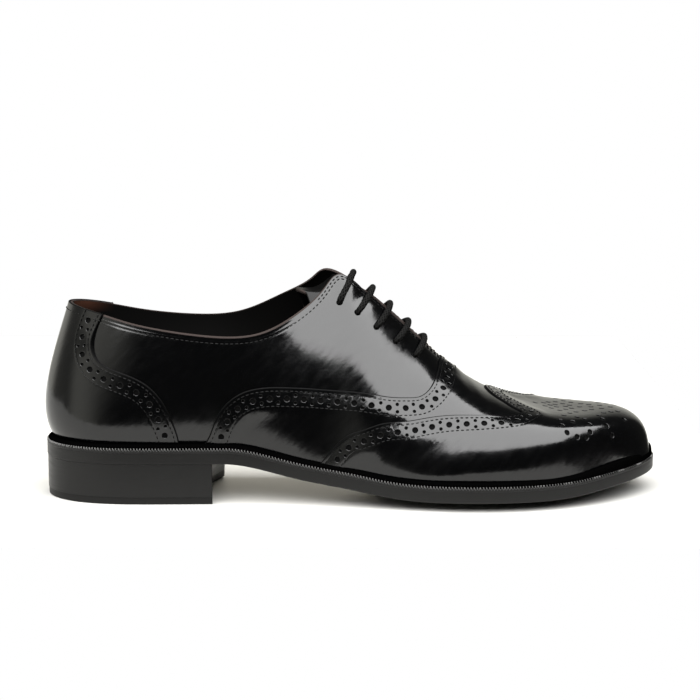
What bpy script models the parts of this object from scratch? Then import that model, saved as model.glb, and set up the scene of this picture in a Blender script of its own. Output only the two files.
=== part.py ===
"""A right-foot full-brogue oxford shoe, empty, standing on its sole.

Frame: metres, +Z up, toe towards +X, outer (lateral) side towards -Y, inner (medial) side
towards +Y. The origin is the middle of the shoe's box, on the floor. Tables are in millimetres.
"""
import bpy
import bmesh
import numpy as np

MM = 0.001

# Layers, from the floor upwards
HEEL_LIFT = 20.0          # floor to the underside of the outsole at the heel
TOP_PIECE_THICK = 3.6     # wearing layer of the heel
OUTSOLE_THICK = 5.2
WELT_THICK = 3.2
INSOLE_STEP = 1.4         # insole top above the welt
GAP = 0.3                 # clearance between neighbouring pieces
CURVED_GAP = 0.5          # the same between curved faces, whose facets differ

# Distances in from the edge of the sole
UPPER_INSET = 4.6         # foot of the upper's outer face
WELT_WIDTH = 8.4
HEEL_INSET = 0.4
HEEL_TAPER = 0.5          # how much further in the heel is at the floor

# Walls and overlays
WALL = 2.0                # leather and lining together
OVERLAY_THICK = 1.0       # toe cap and heel counter
TONGUE_THICK = 2.0
LACE_RADIUS = 1.35
LACE_CLEARANCE = 0.4

# Heel breast: where its front face crosses the two edges of the heel, and how far it is hollowed
BREAST_LATERAL_X = -66.6
BREAST_MEDIAL_X = -64.6
BREAST_HOLLOW = 6.0

# Edge of the sole seen from above, once round from the back of the heel along the lateral side
SOLE_EDGE = np.array([
    # x, y
    (-152.2, 0.0), (-146.5, -17.0), (-128.0, -29.6), (-100.0, -33.0), (-66.0, -32.4),
    (-30.0, -34.0), (0.0, -39.0), (28.0, -45.6), (55.0, -49.8), (80.0, -48.6),
    (105.0, -41.5), (128.0, -28.4), (146.0, -10.5), (154.0, 8.0), (149.4, 25.0),
    (135.0, 38.8), (112.0, 47.6), (85.0, 51.2), (60.0, 48.0), (33.0, 39.5),
    (3.0, 31.4), (-30.0, 28.2), (-66.0, 30.2), (-100.0, 32.6), (-128.0, 29.4), (-146.5, 17.0)])

# Underside of the outsole along the middle of the shoe, and how much its edges turn up
SOLE_LINE = np.array([
    # x, height, slope, edge_rise
    (-160.0, HEEL_LIFT, 0.0, 0.0),
    (-62.0, HEEL_LIFT, 0.0, 0.0),
    (-30.0, 12.3, -0.235, 1.8),
    (10.0, 3.9, -0.19, 3.4),
    (46.0, 0.0, 0.0, 4.6),
    (82.0, 0.0, 0.0, 4.6),
    (120.0, 4.2, 0.15, 2.4),
    (160.0, 11.4, 0.21, 0.4)])
FLAT_SHARE = 0.3          # middle part of the width that is flat from side to side

# Sections of the upper's outer face, from the back of the heel to the toe, one table a side.
# along: place on the foot line, measured from the back of the heel. top_x, top_y, top_z: the
# upper end, on collar, facing or ridge. bulge, rise, lead: pull of the wall at its foot, outwards,
# upwards and towards the toe. crown_x, crown_y, crown_z: pull at the upper end.
COLUMNS = ("along", "top_x", "top_y", "top_z", "bulge", "rise", "lead",
           "crown_x", "crown_y", "crown_z")
HEEL_BACK = (0, -139.2, 0, 96.6, 11, 14, 0, -6.4, 0, -22)
LATERAL_SECTIONS = (
    (23, -133.4, -12.5, 95.4, 9.4, 14, 0, -4.5, -4.5, -22),
    (46, -119.5, -21.0, 92.2, 6.5, 15, 0, -1, -6, -22),
    (72, -100.0, -26.8, 87.6, 4.5, 17, 0, 0, -5, -20),
    (106, -70.0, -29.6, 83.4, 3, 18, 0, 0, -2, -20),
    (132, -46.5, -27.0, 83.6, 2, 21, 0, 0, -3, -20),
    (150, -29.5, -20.0, 90.6, 1, 26, 0, 2, -5.5, -18),
    (165, -14.2, -9.8, 102.8, 2.5, 31, 0, 4, -13, -16),
    (178, -3.0, -4.8, 110.4, 4, 30, 0, 4, -13, -11),
    (200, 20.0, -3.0, 91.4, 4.5, 13, 0, 2, -12.5, -7),
    (222, 45.0, 3.0, 68.2, 7, 22, 0, 0, -15, 0),
    (240, 66.0, 5.0, 52.6, 5.5, 27, 0, 0, -28, 0),
    (258, 92.0, 6.6, 42.8, 2.5, 30, 1, 0, -38, 0),
    (274, 118.0, 7.4, 40.2, -0.5, 27, 3, 0, -38, 0),
    (287, 136.6, 7.8, 39.5, -0.8, 17, 5, 0, -31, 0),
    (296, 147.4, 8.0, 32.2, -0.3, 7, 8, 0, -20, 0),
    (302, 150.8, 8.0, 20.0, 0, 1, 11, 0, -17, 0))
MEDIAL_SECTIONS = (
    (23, -133.4, 12.5, 95.4, 9.4, 14, 0, -4.5, 4.5, -22),
    (46, -119.5, 21.0, 92.2, 6.5, 15, 0, -1, 6, -22),
    (72, -99.4, 27.4, 87.9, 5, 17, 0, 0, 5, -20),
    (105, -70.0, 29.4, 86.0, 6, 18, 0, 0, 4, -20),
    (130, -50.0, 25.8, 90.2, 8, 21, 0, 0, 7, -20),
    (148, -34.0, 19.6, 98.2, 9, 26, 0, 2, 9, -18),
    (163, -20.0, 11.6, 106.8, 9, 31, 0, 4, 14, -13),
    (176, -8.0, 6.4, 111.6, 8.5, 34, 0, 4, 12, -11),
    (200, 19.0, 7.0, 92.4, 7.5, 30, 0, 2, 11.5, -7),
    (224, 45.0, 3.0, 68.2, 6, 26, 0, 0, 15, 0),
    (242, 66.0, 5.0, 52.6, 5, 23, 0, 0, 21, 0),
    (261, 92.0, 6.6, 42.8, 2.5, 28, 1, 0, 32, 0),
    (279, 118.0, 7.4, 40.2, 0, 26, 3, 0, 31, 0),
    (294, 136.6, 7.8, 39.5, -0.6, 16, 5, 0, 24, 0),
    (303, 147.4, 8.0, 32.2, -0.3, 7, 7, 0, 15, 0),
    (309, 150.8, 8.0, 20.0, 0, 1, 9, 0, 12, 0))
CORNER = 8                # section at the top corner of the facings
THROAT = 10               # section where the facings meet
TOE = 16                  # section on the foot line round the toe

# Outlines of the two overlays seen from the side, x and z, lower end first
WING_EDGE = ((-19.0, 15.0), (-11.5, 28.0), (2.0, 36.4), (26.0, 40.2), (62.0, 42.2),
             (79.0, 42.4), (85.4, 44.4))
WING_PEAK = (69.0, 52.4)  # point of the wing on the ridge of the vamp
WING_SECTIONS = (5.6, 15.6)        # sections that the toe cap spans on each side
COUNTER_EDGE = ((-84.0, 29.0), (-87.5, 39.5), (-94.0, 50.5), (-102.0, 58.0), (-116.0, 65.5),
                (-124.5, 71.0), (-127.0, 78.0), (-124.5, 86.0), (-121.0, 96.0))
COUNTER_SECTIONS = 4.4    # sections that the counter spans on each side of the heel back
OVERLAY_FOOT = 0.05       # share of the wall's height left free above the welt

# Lace: where each bar crosses the facing's edge, how much it leans back on its way down, and how
# far in from the edge its holes lie
LACE_BARS = ((0.2, 0.0), (9.7, 0.02), (18.5, 0.07), (27.8, 0.2), (36.0, 0.18))   # x, lean
HOLE_INSET = 15.8
BAR_STEPS = 7             # straight pieces of a bar on each side

# Free end of the tongue, moved back step by step from the corner of the facings
TONGUE_SHARE = 0.30       # share of the wall's height that the tongue covers on each side
TONGUE_SPREAD = (1.0, 0.8, 0.6, 0.4, 0.2, 0.06)   # its columns on a side, as parts of that share
TONGUE_TUCK = 0.8         # sections that the tongue runs on under the vamp
TONGUE_END = ((-7.0, -5.4, 0.94), (-13.0, -6.8, 0.84), (-18.5, -6.4, 0.7))   # x, z, width share

# Facets
OUTLINE_FACETS = 96
SOLE_RUNGS = 44
SOLE_STRIPS = 8
HEEL_RUNGS = 22
HEEL_STRIPS = 8
HEEL_CROWDING = 1.2       # above 1, the rungs crowd towards the round back of the heel
ROWS_PER_SECTION = 2.5
WALL_STEPS = 10
OVERLAY_EDGE_FACETS = 19
SHARP_ANGLE = 35.0        # degrees between faces that shade as an edge


def natural_spline(knots, values, at):
    """Natural cubic spline through values at knots, column by column."""
    knots = np.asarray(knots, float)
    values = np.asarray(values, float)
    step = np.diff(knots)
    count = len(knots)
    system = np.eye(count)
    load = np.zeros_like(values)
    for i in range(1, count - 1):
        system[i, i - 1:i + 2] = step[i - 1], 2 * (step[i - 1] + step[i]), step[i]
        load[i] = 6 * ((values[i + 1] - values[i]) / step[i] - (values[i] - values[i - 1]) / step[i - 1])
    bend = np.linalg.solve(system, load)
    i = np.clip(np.searchsorted(knots, at, side="right") - 1, 0, count - 2)
    a = ((knots[i + 1] - at) / step[i])[:, None]
    b = 1 - a
    curve = ((a**3 - a) * bend[i] + (b**3 - b) * bend[i + 1]) * step[i][:, None] ** 2 / 6
    return a * values[i] + b * values[i + 1] + curve


def hermite(table, column, slopes, at):
    """Cubic through a column of a table with given slopes."""
    x = table[:, 0]
    i = np.clip(np.searchsorted(x, at, side="right") - 1, 0, len(x) - 2)
    width = x[i + 1] - x[i]
    t = (at - x[i]) / width
    rise = t * t * (3 - 2 * t)
    return (table[i, column] * (1 - rise) + table[i + 1, column] * rise
            + width * (t * (1 - t) ** 2 * slopes[i] - t * t * (1 - t) * slopes[i + 1]))


def arc_length(points):
    """Distance along a line of points, from its first point."""
    return np.concatenate([[0.0], np.cumsum(np.linalg.norm(np.diff(points, axis=0), axis=1))])


def edge_loop(count=960):
    """The sole's edge as a closed smooth curve: points and outward normals."""
    wrap = 5
    ring = np.vstack([SOLE_EDGE[-wrap:], SOLE_EDGE, SOLE_EDGE[:wrap + 1]])
    knots = arc_length(ring)
    knots -= knots[wrap]
    around = knots[wrap + len(SOLE_EDGE)]
    points = natural_spline(knots, ring, np.arange(count) * around / count)
    ahead = np.roll(points, -1, axis=0) - np.roll(points, 1, axis=0)
    ahead /= np.linalg.norm(ahead, axis=1)[:, None]
    return points, np.stack([ahead[:, 1], -ahead[:, 0]], axis=1)


EDGE, OUTWARD = edge_loop()
TIP = np.argmax(EDGE[:, 0])


def edge_sides(x):
    """Lateral and medial y of the sole's edge at x."""
    lateral = EDGE[:TIP + 1]
    medial = np.vstack([EDGE[TIP:], EDGE[:1]])[::-1]
    return np.interp(x, *lateral.T), np.interp(x, *medial.T)


def sole_height(x, y):
    """Underside of the outsole: the middle line plus the turned-up edges."""
    lateral, medial = edge_sides(x)
    across = np.abs(2 * y - lateral - medial) / np.maximum(medial - lateral, 1.0)
    turn = np.clip((across - FLAT_SHARE) / (1 - FLAT_SHARE), 0, 1) ** 2
    middle = hermite(SOLE_LINE, 1, SOLE_LINE[:, 2], x)
    rise = hermite(SOLE_LINE, 3, np.zeros(len(SOLE_LINE)), x)
    return middle + rise * turn


def seat_height(x):
    """Top of the welt, level from side to side."""
    lateral, _ = edge_sides(x)
    return sole_height(x, lateral) + OUTSOLE_THICK + CURVED_GAP + WELT_THICK


def foot_line(along):
    """Foot of the upper at signed distances from the heel back (lateral negative), with directions."""
    points = EDGE - UPPER_INSET * OUTWARD
    distance = arc_length(np.vstack([points, points[:1]]))
    total = distance[-1]
    place = np.mod(-along, total)
    x, y, out_x, out_y = (np.interp(place, distance[:-1], column, period=total)
                          for column in np.hstack([points, OUTWARD]).T)
    level = np.zeros_like(x)
    return np.stack([x, y, seat_height(x) + GAP], axis=1), np.stack([out_x, out_y, level], axis=1)


def section_values(u):
    """All columns of the section tables at signed section numbers u (lateral negative)."""
    lateral = np.array(LATERAL_SECTIONS, float)[::-1]
    lateral[:, COLUMNS.index("along")] *= -1
    table = np.vstack([lateral, [HEEL_BACK], MEDIAL_SECTIONS])
    return natural_spline(np.arange(-TOE, TOE + 1), table, u)


def upper_at(u, v, offset=0.0):
    """Outer face of the upper at signed section u and share v of the wall's height.

    Each section is a cubic curve from the foot line to the collar, facing or ridge. The two sides
    share one upper end in front of the throat. A positive offset moves out along the normal.
    """
    u, v = np.broadcast_arrays(np.asarray(u, float), np.asarray(v, float))
    shape = u.shape
    u, v = u.ravel(), v.ravel()
    if offset:
        nudge = 0.02
        before, after = np.clip(u - nudge, -TOE, TOE), np.clip(u + nudge, -TOE, TOE)
        ahead = upper_at(after, v) - upper_at(before, v)
        up = upper_at(u, v + nudge) - upper_at(u, v - nudge)
        normal = np.cross(up, ahead)
        normal /= np.linalg.norm(normal, axis=1)[:, None]
        return (upper_at(u, v) + offset * normal).reshape(*shape, 3)
    row = dict(zip(COLUMNS, section_values(u).T))
    twin = dict(zip(COLUMNS, section_values(-u).T))
    closed = np.abs(u) >= THROAT
    foot, outward = foot_line(row["along"])
    ahead = np.stack([outward[:, 1], -outward[:, 0], 0 * u], axis=1) * np.sign(u)[:, None]
    top = np.stack([np.where(closed, (row[k] + twin[k]) / 2, row[k])
                    for k in ("top_x", "top_y", "top_z")], axis=1)
    crown = np.stack([np.where(closed, 0, row["crown_x"]), row["crown_y"],
                      np.where(closed, 0, row["crown_z"])], axis=1)
    up = np.array([0.0, 0.0, 1.0])
    pull = row["bulge"][:, None] * outward + row["rise"][:, None] * up + row["lead"][:, None] * ahead
    w = v[:, None]
    points = ((1 - w) ** 3 * foot + 3 * (1 - w) ** 2 * w * (foot + pull)
              + 3 * (1 - w) * w**2 * (top + crown) + w**3 * top)
    return points.reshape(*shape, 3)


def make_object(name, vertices, faces, material):
    """One named object from millimetre points and faces, with double points merged."""
    same_point = 0.005 * MM
    no_length = 0.001 * MM
    mesh = bpy.data.meshes.new(name)
    mesh.from_pydata((np.asarray(vertices) * MM).tolist(), [], [list(map(int, f)) for f in faces])
    shape = bmesh.new()
    shape.from_mesh(mesh)
    bmesh.ops.remove_doubles(shape, verts=shape.verts, dist=same_point)
    bmesh.ops.dissolve_degenerate(shape, edges=shape.edges, dist=no_length)
    shape.to_mesh(mesh)
    shape.free()
    mesh.shade_smooth()
    mesh.set_sharp_from_angle(angle=np.radians(SHARP_ANGLE))
    piece = bpy.data.objects.new(name, mesh)
    bpy.context.scene.collection.objects.link(piece)
    piece.data.materials.append(material)
    return piece


def make_material(name, colour, roughness):
    """A plain non-metal finish of one colour."""
    material = bpy.data.materials.new(name)
    material.use_nodes = True
    shader = material.node_tree.nodes["Principled BSDF"]
    shader.inputs["Base Color"].default_value = (*colour, 1.0)
    shader.inputs["Roughness"].default_value = roughness
    shader.inputs["Metallic"].default_value = 0.0
    return material


def grid_faces(rows, columns, closed=False):
    """Quads of a grid whose points run row by row; closed joins the last column to the first."""
    i, j = np.meshgrid(np.arange(rows - 1), np.arange(columns if closed else columns - 1), indexing="ij")
    i, j = i.ravel(), j.ravel()
    beside = (j + 1) % columns
    row, next_row = i * columns, (i + 1) * columns
    return np.stack([row + j, row + beside, next_row + beside, next_row + j], axis=1)


def add_wall(piece, thickness):
    """Thickness inwards from the piece's faces (outwards where negative)."""
    wall = piece.modifiers.new("wall", "SOLIDIFY")
    wall.thickness = thickness * MM
    wall.offset = -1.0
    wall.use_even_offset = True
    wall.use_quality_normals = True


def section_numbers(first, last):
    """Section numbers from first to last, evenly spaced."""
    count = int(round(abs(last - first) * ROWS_PER_SECTION)) + 1
    return np.linspace(first, last, count)


def make_upper(material):
    """Vamp and quarters: the outer face with its wall inwards, open at collar, throat and foot."""
    u = section_numbers(-TOE, TOE)
    v = np.linspace(0, 1, WALL_STEPS + 1)
    points = upper_at(u[:, None], v[None, :])
    piece = make_object("upper", points.reshape(-1, 3), grid_faces(len(u), len(v)), material)
    add_wall(piece, WALL)


def smooth_edge(points, count):
    """Smooth curve through a few outline points."""
    points = np.array(points, float)
    knots = arc_length(points)
    return natural_spline(knots, points, np.linspace(0, knots[-1], count))


def make_prism(name, outline):
    """Side-view outline carried right across the shoe: a cutter."""
    reach = 90.0
    outline = np.asarray(outline)
    x, z = outline.T
    if np.sum(x * np.roll(z, -1) - np.roll(x, -1) * z) < 0:
        outline = outline[::-1]
    count = len(outline)
    near = np.column_stack([outline[:, 0], np.full(count, -reach), outline[:, 1]])
    far = near + np.array([0, 2 * reach, 0])
    faces = [list(range(count)), list(range(2 * count - 1, count - 1, -1))]
    faces += [[(k + 1) % count, k, count + k, count + (k + 1) % count] for k in range(count)]
    cutter = make_object(name, np.vstack([near, far]), faces, make_material(name, (1, 0, 0), 0.5))
    cutter.hide_render = True
    cutter.display_type = "WIRE"
    return cutter


def make_overlay(name, u_sets, outline, material):
    """A panel lying on the upper: a shell of the upper's own face cut by a side-view outline."""
    cutter = make_prism(name + "_outline", outline)
    v = np.linspace(OVERLAY_FOOT, 1, WALL_STEPS + 1)
    points = [upper_at(u[:, None], v[None, :], offset=CURVED_GAP) for u in u_sets]
    faces = []
    start = 0
    for u in u_sets:
        faces.append(grid_faces(len(u), len(v)) + start)
        start += len(u) * len(v)
    piece = make_object(name, np.vstack([p.reshape(-1, 3) for p in points]), np.vstack(faces), material)
    add_wall(piece, -OVERLAY_THICK)
    cut = piece.modifiers.new("outline", "BOOLEAN")
    cut.operation = "INTERSECT"
    cut.solver = "EXACT"
    cut.object = cutter


def make_toe_cap(material):
    """Wing-shaped cap: its outline runs along both wings, up to the peak, and round in front."""
    edge = smooth_edge(WING_EDGE, OVERLAY_EDGE_FACETS)
    over, front, under = 75.0, 175.0, 5.0
    corners = (WING_PEAK, (WING_PEAK[0], over), (front, over), (front, under), (WING_EDGE[0][0], under))
    first, last = WING_SECTIONS
    sides = (section_numbers(-last, -first), section_numbers(first, last))
    make_overlay("toe_cap", sides, np.vstack([edge, corners]), material)


def make_heel_counter(material):
    """Counter: its outline runs up the curved front edge and round behind the heel."""
    edge = smooth_edge(COUNTER_EDGE, OVERLAY_EDGE_FACETS)
    over, back, under = 120.0, -175.0, 20.0
    corners = ((COUNTER_EDGE[-1][0], over), (back, over), (back, under), (COUNTER_EDGE[0][0], under))
    around = section_numbers(-COUNTER_SECTIONS, COUNTER_SECTIONS)
    make_overlay("heel_counter", (around,), np.vstack([edge, corners]), material)


def rails(inset, share):
    """Points at given shares of the lateral and the medial edge, from heel back to toe."""
    edge = EDGE - inset * OUTWARD
    sides = []
    for rail in (edge[:TIP + 1], np.vstack([edge[TIP:], edge[:1]])[::-1]):
        along = arc_length(rail)
        sides.append(np.stack([np.interp(share * along[-1], along, rail[:, k]) for k in range(2)], axis=1))
    return sides


def layer_faces(rows, columns):
    """Faces of a closed layer: a lower grid, an upper grid after it, and the two long sides."""
    count = rows * columns
    quads = grid_faces(rows, columns)
    faces = [quads[:, ::-1] + count, quads]
    for j, order in ((0, 1), (columns - 1, -1)):
        i = np.arange(rows - 1) * columns + j
        side = np.stack([i, i + columns, i + columns + count, i + count], axis=1)
        faces.append(side[:, ::order])
    return np.vstack(faces)


def sole_plan(inset):
    """Grid over the sole's outline: rungs from heel to toe, each from lateral to medial edge."""
    share = (1 - np.cos(np.linspace(0, np.pi, SOLE_RUNGS + 1))) / 2
    lateral, medial = rails(inset, share)
    across = np.linspace(0, 1, SOLE_STRIPS + 1)[None, :, None]
    return lateral[:, None] * (1 - across) + medial[:, None] * across


def make_outsole(material):
    """Sole of even thickness over its underside, with arch and toe spring."""
    plan = sole_plan(0.0)
    x, y = plan[..., 0].ravel(), plan[..., 1].ravel()
    under = sole_height(x, y)
    points = [np.column_stack([x, y, under]), np.column_stack([x, y, under + OUTSOLE_THICK])]
    make_object("outsole", np.vstack(points), layer_faces(*plan.shape[:2]), material)


def make_insole(material):
    """Board that fills the welt, round below like the outsole and level above."""
    plan = sole_plan(WELT_WIDTH + GAP)
    x, y = plan[..., 0].ravel(), plan[..., 1].ravel()
    under = sole_height(x, y) + OUTSOLE_THICK + CURVED_GAP
    points = [np.column_stack([x, y, under]), np.column_stack([x, y, seat_height(x) + INSOLE_STEP])]
    make_object("insole", np.vstack(points), layer_faces(*plan.shape[:2]), material)


def make_welt(material):
    """Ring round the shoe between the outsole and the upper, level on top."""
    pick = np.linspace(0, len(EDGE), OUTLINE_FACETS, endpoint=False).astype(int)
    outer = EDGE[pick]
    inner = outer - WELT_WIDTH * OUTWARD[pick]
    rings = []
    for plan, on_top in ((outer, False), (outer, True), (inner, True), (inner, False)):
        x, y = plan.T
        height = seat_height(x) if on_top else sole_height(x, y) + OUTSOLE_THICK + CURVED_GAP
        rings.append(np.column_stack([plan, height]))
    points = np.vstack(rings + rings[:1])
    faces = grid_faces(len(rings) + 1, OUTLINE_FACETS, closed=True)
    make_object("welt", points, faces, material)


def heel_plan(inset):
    """Grid over the heel: rungs from its back to the breast, which is hollowed in its middle."""
    sides = []
    back_half = np.linspace(0, 0.5, 200)
    share = np.linspace(0, 1, HEEL_RUNGS + 1) ** HEEL_CROWDING
    for rail, breast in zip(rails(inset, back_half), (BREAST_LATERAL_X, BREAST_MEDIAL_X)):
        rail = rail[:np.argmax(rail[:, 0] > breast)]
        along = arc_length(rail)
        sides.append(np.stack([np.interp(share * along[-1], along, rail[:, k]) for k in range(2)], axis=1))
    across = np.linspace(0, 1, HEEL_STRIPS + 1)
    plan = sides[0][:, None] * (1 - across)[None, :, None] + sides[1][:, None] * across[None, :, None]
    plan[..., 0] -= BREAST_HOLLOW * share[:, None] ** 4 * 4 * across * (1 - across)
    return plan


def make_heel_layer(name, bottom, top, material):
    """A layer of the heel; the heel narrows a little towards the floor."""
    layers = []
    for height in (bottom, top):
        plan = heel_plan(HEEL_INSET + HEEL_TAPER * (1 - height / HEEL_LIFT)).reshape(-1, 2)
        layers.append(np.column_stack([plan, np.full(len(plan), height)]))
    rungs, strips = HEEL_RUNGS + 1, HEEL_STRIPS + 1
    count = rungs * strips
    front = count - strips + np.arange(HEEL_STRIPS)
    breast = np.stack([front, front + 1, front + 1 + count, front + count], axis=1)
    make_object(name, np.vstack(layers), np.vstack([layer_faces(rungs, strips), breast]), material)


def make_tongue(material):
    """Strip under the facings that follows the upper's inner face, with a free end at the collar."""
    u = section_numbers(THROAT + TONGUE_TUCK, CORNER)
    v = 1 - TONGUE_SHARE * np.array(TONGUE_SPREAD)
    under = -(WALL + CURVED_GAP)
    lateral = upper_at(-u[:, None], v[None, :], offset=under)
    medial = upper_at(u[:, None], v[None, ::-1], offset=under)
    rows = list(np.concatenate([lateral, medial], axis=1))
    last = rows[-1]
    middle = last[:, 1].mean()
    for back, lift, width in TONGUE_END:
        row = last + np.array([back, 0, lift])
        row[:, 1] = middle + (row[:, 1] - middle) * width
        rows.append(row)
    points = np.array(rows)
    faces = grid_faces(points.shape[0], points.shape[1])
    piece = make_object("tongue", points.reshape(-1, 3), faces, material)
    add_wall(piece, TONGUE_THICK)


def walk_down(u, lean, length, steps):
    """Path over the outer face down from the facing's edge: section numbers and shares of height.

    It starts at the edge in section u and goes square to that edge, but leans back by a given slope.
    """
    nudge = 1e-3
    v = 1.0
    route = [(u, v)]
    square = None
    for _ in range(steps):
        around = upper_at(np.array([u - nudge, u + nudge, u, u]), np.array([v, v, v - nudge, v + nudge]))
        slopes = np.stack([around[1] - around[0], around[3] - around[2]], axis=1) / (2 * nudge)
        normal = np.cross(slopes[:, 1], slopes[:, 0])
        if square is None:
            square = slopes[:, 0] / np.linalg.norm(slopes[:, 0])
        down = np.cross(square, normal)
        down *= np.sign(-down[2]) / np.linalg.norm(down)
        down -= lean * np.sign(square[0]) * square
        down *= length / steps / np.linalg.norm(down)
        move = np.linalg.lstsq(slopes, down, rcond=None)[0]
        u, v = u + move[0], v + move[1]
        route.append((u, v))
    return np.array(route)


def bar_path(crossing, lean):
    """Middle line of one lace bar: from a lateral hole over the facings to a medial hole."""
    tries = 81
    u = np.linspace(CORNER, THROAT, tries)
    halves = []
    for side in (-1, 1):
        edge_x = upper_at(side * u, np.ones_like(u))[:, 0]
        route = walk_down(side * np.interp(crossing, edge_x, u), lean, HOLE_INSET, BAR_STEPS)
        halves.append(upper_at(route[:, 0], route[:, 1], offset=LACE_RADIUS + LACE_CLEARANCE))
    return np.vstack([halves[0][::-1], halves[1]])


def make_lace_bar(number, path, material):
    """A round bar of lace swept along its path."""
    curve = bpy.data.curves.new("lace_bar_%d" % number, "CURVE")
    curve.dimensions = "3D"
    curve.bevel_depth = LACE_RADIUS * MM
    curve.bevel_resolution = 2
    curve.use_fill_caps = True
    spline = curve.splines.new("POLY")
    spline.points.add(len(path) - 1)
    for point, place in zip(spline.points, path):
        point.co = (*(place * MM), 1.0)
    piece = bpy.data.objects.new("lace_bar_%d" % number, curve)
    piece.data.materials.append(material)
    bpy.context.scene.collection.objects.link(piece)


def centre_on_origin():
    """Hang every piece on one empty that brings the middle of the shoe's box over the origin."""
    graph = bpy.context.evaluated_depsgraph_get()
    low, high = np.full(2, np.inf), np.full(2, -np.inf)
    pieces = list(bpy.context.scene.collection.objects)
    for piece in pieces:
        if piece.hide_render:
            continue
        solid = piece.evaluated_get(graph)
        mesh = solid.to_mesh()
        places = np.empty(len(mesh.vertices) * 3)
        mesh.vertices.foreach_get("co", places)
        plan = places.reshape(-1, 3)[:, :2]
        low, high = np.minimum(low, plan.min(axis=0)), np.maximum(high, plan.max(axis=0))
        solid.to_mesh_clear()
    middle = bpy.data.objects.new("brogue", None)
    middle.location = (-(low[0] + high[0]) / 2, -(low[1] + high[1]) / 2, 0.0)
    bpy.context.scene.collection.objects.link(middle)
    for piece in pieces:
        piece.parent = middle


def main():
    for old in list(bpy.data.objects):
        bpy.data.objects.remove(old, do_unlink=True)
    leather = make_material("black_leather", (0.012, 0.012, 0.014), 0.18)
    cap_leather = make_material("cap_leather", (0.012, 0.012, 0.014), 0.16)
    counter_leather = make_material("counter_leather", (0.012, 0.012, 0.014), 0.17)
    tongue_leather = make_material("tongue_leather", (0.015, 0.014, 0.014), 0.3)
    sole_edge = make_material("sole_edge", (0.03, 0.03, 0.031), 0.45)
    welt_strip = make_material("welt_strip", (0.022, 0.022, 0.023), 0.5)
    heel_stack = make_material("heel_stack", (0.03, 0.03, 0.031), 0.42)
    rubber = make_material("top_piece_rubber", (0.02, 0.02, 0.02), 0.6)
    board = make_material("insole_leather", (0.03, 0.022, 0.018), 0.6)
    cord = make_material("lace_cotton", (0.02, 0.02, 0.021), 0.7)

    make_outsole(sole_edge)
    make_welt(welt_strip)
    make_insole(board)
    make_heel_layer("heel_block", TOP_PIECE_THICK + GAP, HEEL_LIFT - GAP, heel_stack)
    make_heel_layer("heel_top_piece", 0.0, TOP_PIECE_THICK, rubber)
    make_upper(leather)
    make_toe_cap(cap_leather)
    make_heel_counter(counter_leather)
    make_tongue(tongue_leather)
    for number, (crossing, lean) in enumerate(LACE_BARS, start=1):
        make_lace_bar(number, bar_path(crossing, lean), cord)
    centre_on_origin()


main()
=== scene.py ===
"""Looks of a right-foot full-brogue oxford: punched leather, stitching, lace, welted sole and studio.

Frame: toe towards +X, outer (lateral) side towards -Y, inner (medial) side towards +Y, floor at
Z = 0. Shapes are worked out in millimetres and put into meshes in metres.
"""
import math

import bpy
import numpy as np
from bpy.props import FloatProperty, FloatVectorProperty, PointerProperty
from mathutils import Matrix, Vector
from mathutils.geometry import delaunay_2d_cdt


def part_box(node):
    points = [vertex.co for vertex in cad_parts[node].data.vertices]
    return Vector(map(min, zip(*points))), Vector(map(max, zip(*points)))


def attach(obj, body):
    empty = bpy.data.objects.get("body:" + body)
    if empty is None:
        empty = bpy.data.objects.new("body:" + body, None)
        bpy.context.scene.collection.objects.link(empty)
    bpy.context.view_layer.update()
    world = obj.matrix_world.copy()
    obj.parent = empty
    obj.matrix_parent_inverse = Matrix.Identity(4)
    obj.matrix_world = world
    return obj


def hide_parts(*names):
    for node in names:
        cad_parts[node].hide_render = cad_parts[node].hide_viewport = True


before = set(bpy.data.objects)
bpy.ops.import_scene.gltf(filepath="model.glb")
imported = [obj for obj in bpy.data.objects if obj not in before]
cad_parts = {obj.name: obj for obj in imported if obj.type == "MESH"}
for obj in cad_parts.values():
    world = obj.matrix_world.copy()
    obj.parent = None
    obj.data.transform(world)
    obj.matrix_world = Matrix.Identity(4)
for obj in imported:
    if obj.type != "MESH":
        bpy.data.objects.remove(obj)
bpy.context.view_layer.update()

bl_info = {
    "name": "Full-brogue oxford",
    "version": (1, 0, 0),
    "blender": (4, 5, 0),
    "location": "3D View > Sidebar > Brogue",
    "description": "Leather, stitching, lace, sole and studio of a right-foot full-brogue oxford",
    "category": "Add Mesh",
}

MM = 0.001
BODY = "root"

# Layers of the sole, from the floor upwards
HEEL_LIFT = 20.0
TOP_PIECE_THICK = 3.6
OUTSOLE_THICK = 5.2
WELT_THICK = 3.2
INSOLE_STEP = 1.4
GAP = 0.3
CURVED_GAP = 0.5

# Distances in from the edge of the sole
UPPER_INSET = 4.6
WELT_WIDTH = 8.4
HEEL_SHOW_INSET = 0.1
HEEL_TAPER = 0.5
BREAST_LATERAL_X = -66.6
BREAST_MEDIAL_X = -64.6
BREAST_HOLLOW = 6.0

# Upper
WALL = 2.0
TONGUE_THICK = 2.0
HOLE_INSET = 15.8
LACE_SHOW_RADIUS = 1.6
LACE_BARS = ((0.2, 0.0), (9.7, 0.02), (18.5, 0.07), (27.8, 0.2), (36.0, 0.18))   # x, lean
BAR_STEPS = 12
HOLE_DEPTH = 0.75
SMALL_HOLE_DEPTH = 0.7
EYELET_DEPTH = 1.7

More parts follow.
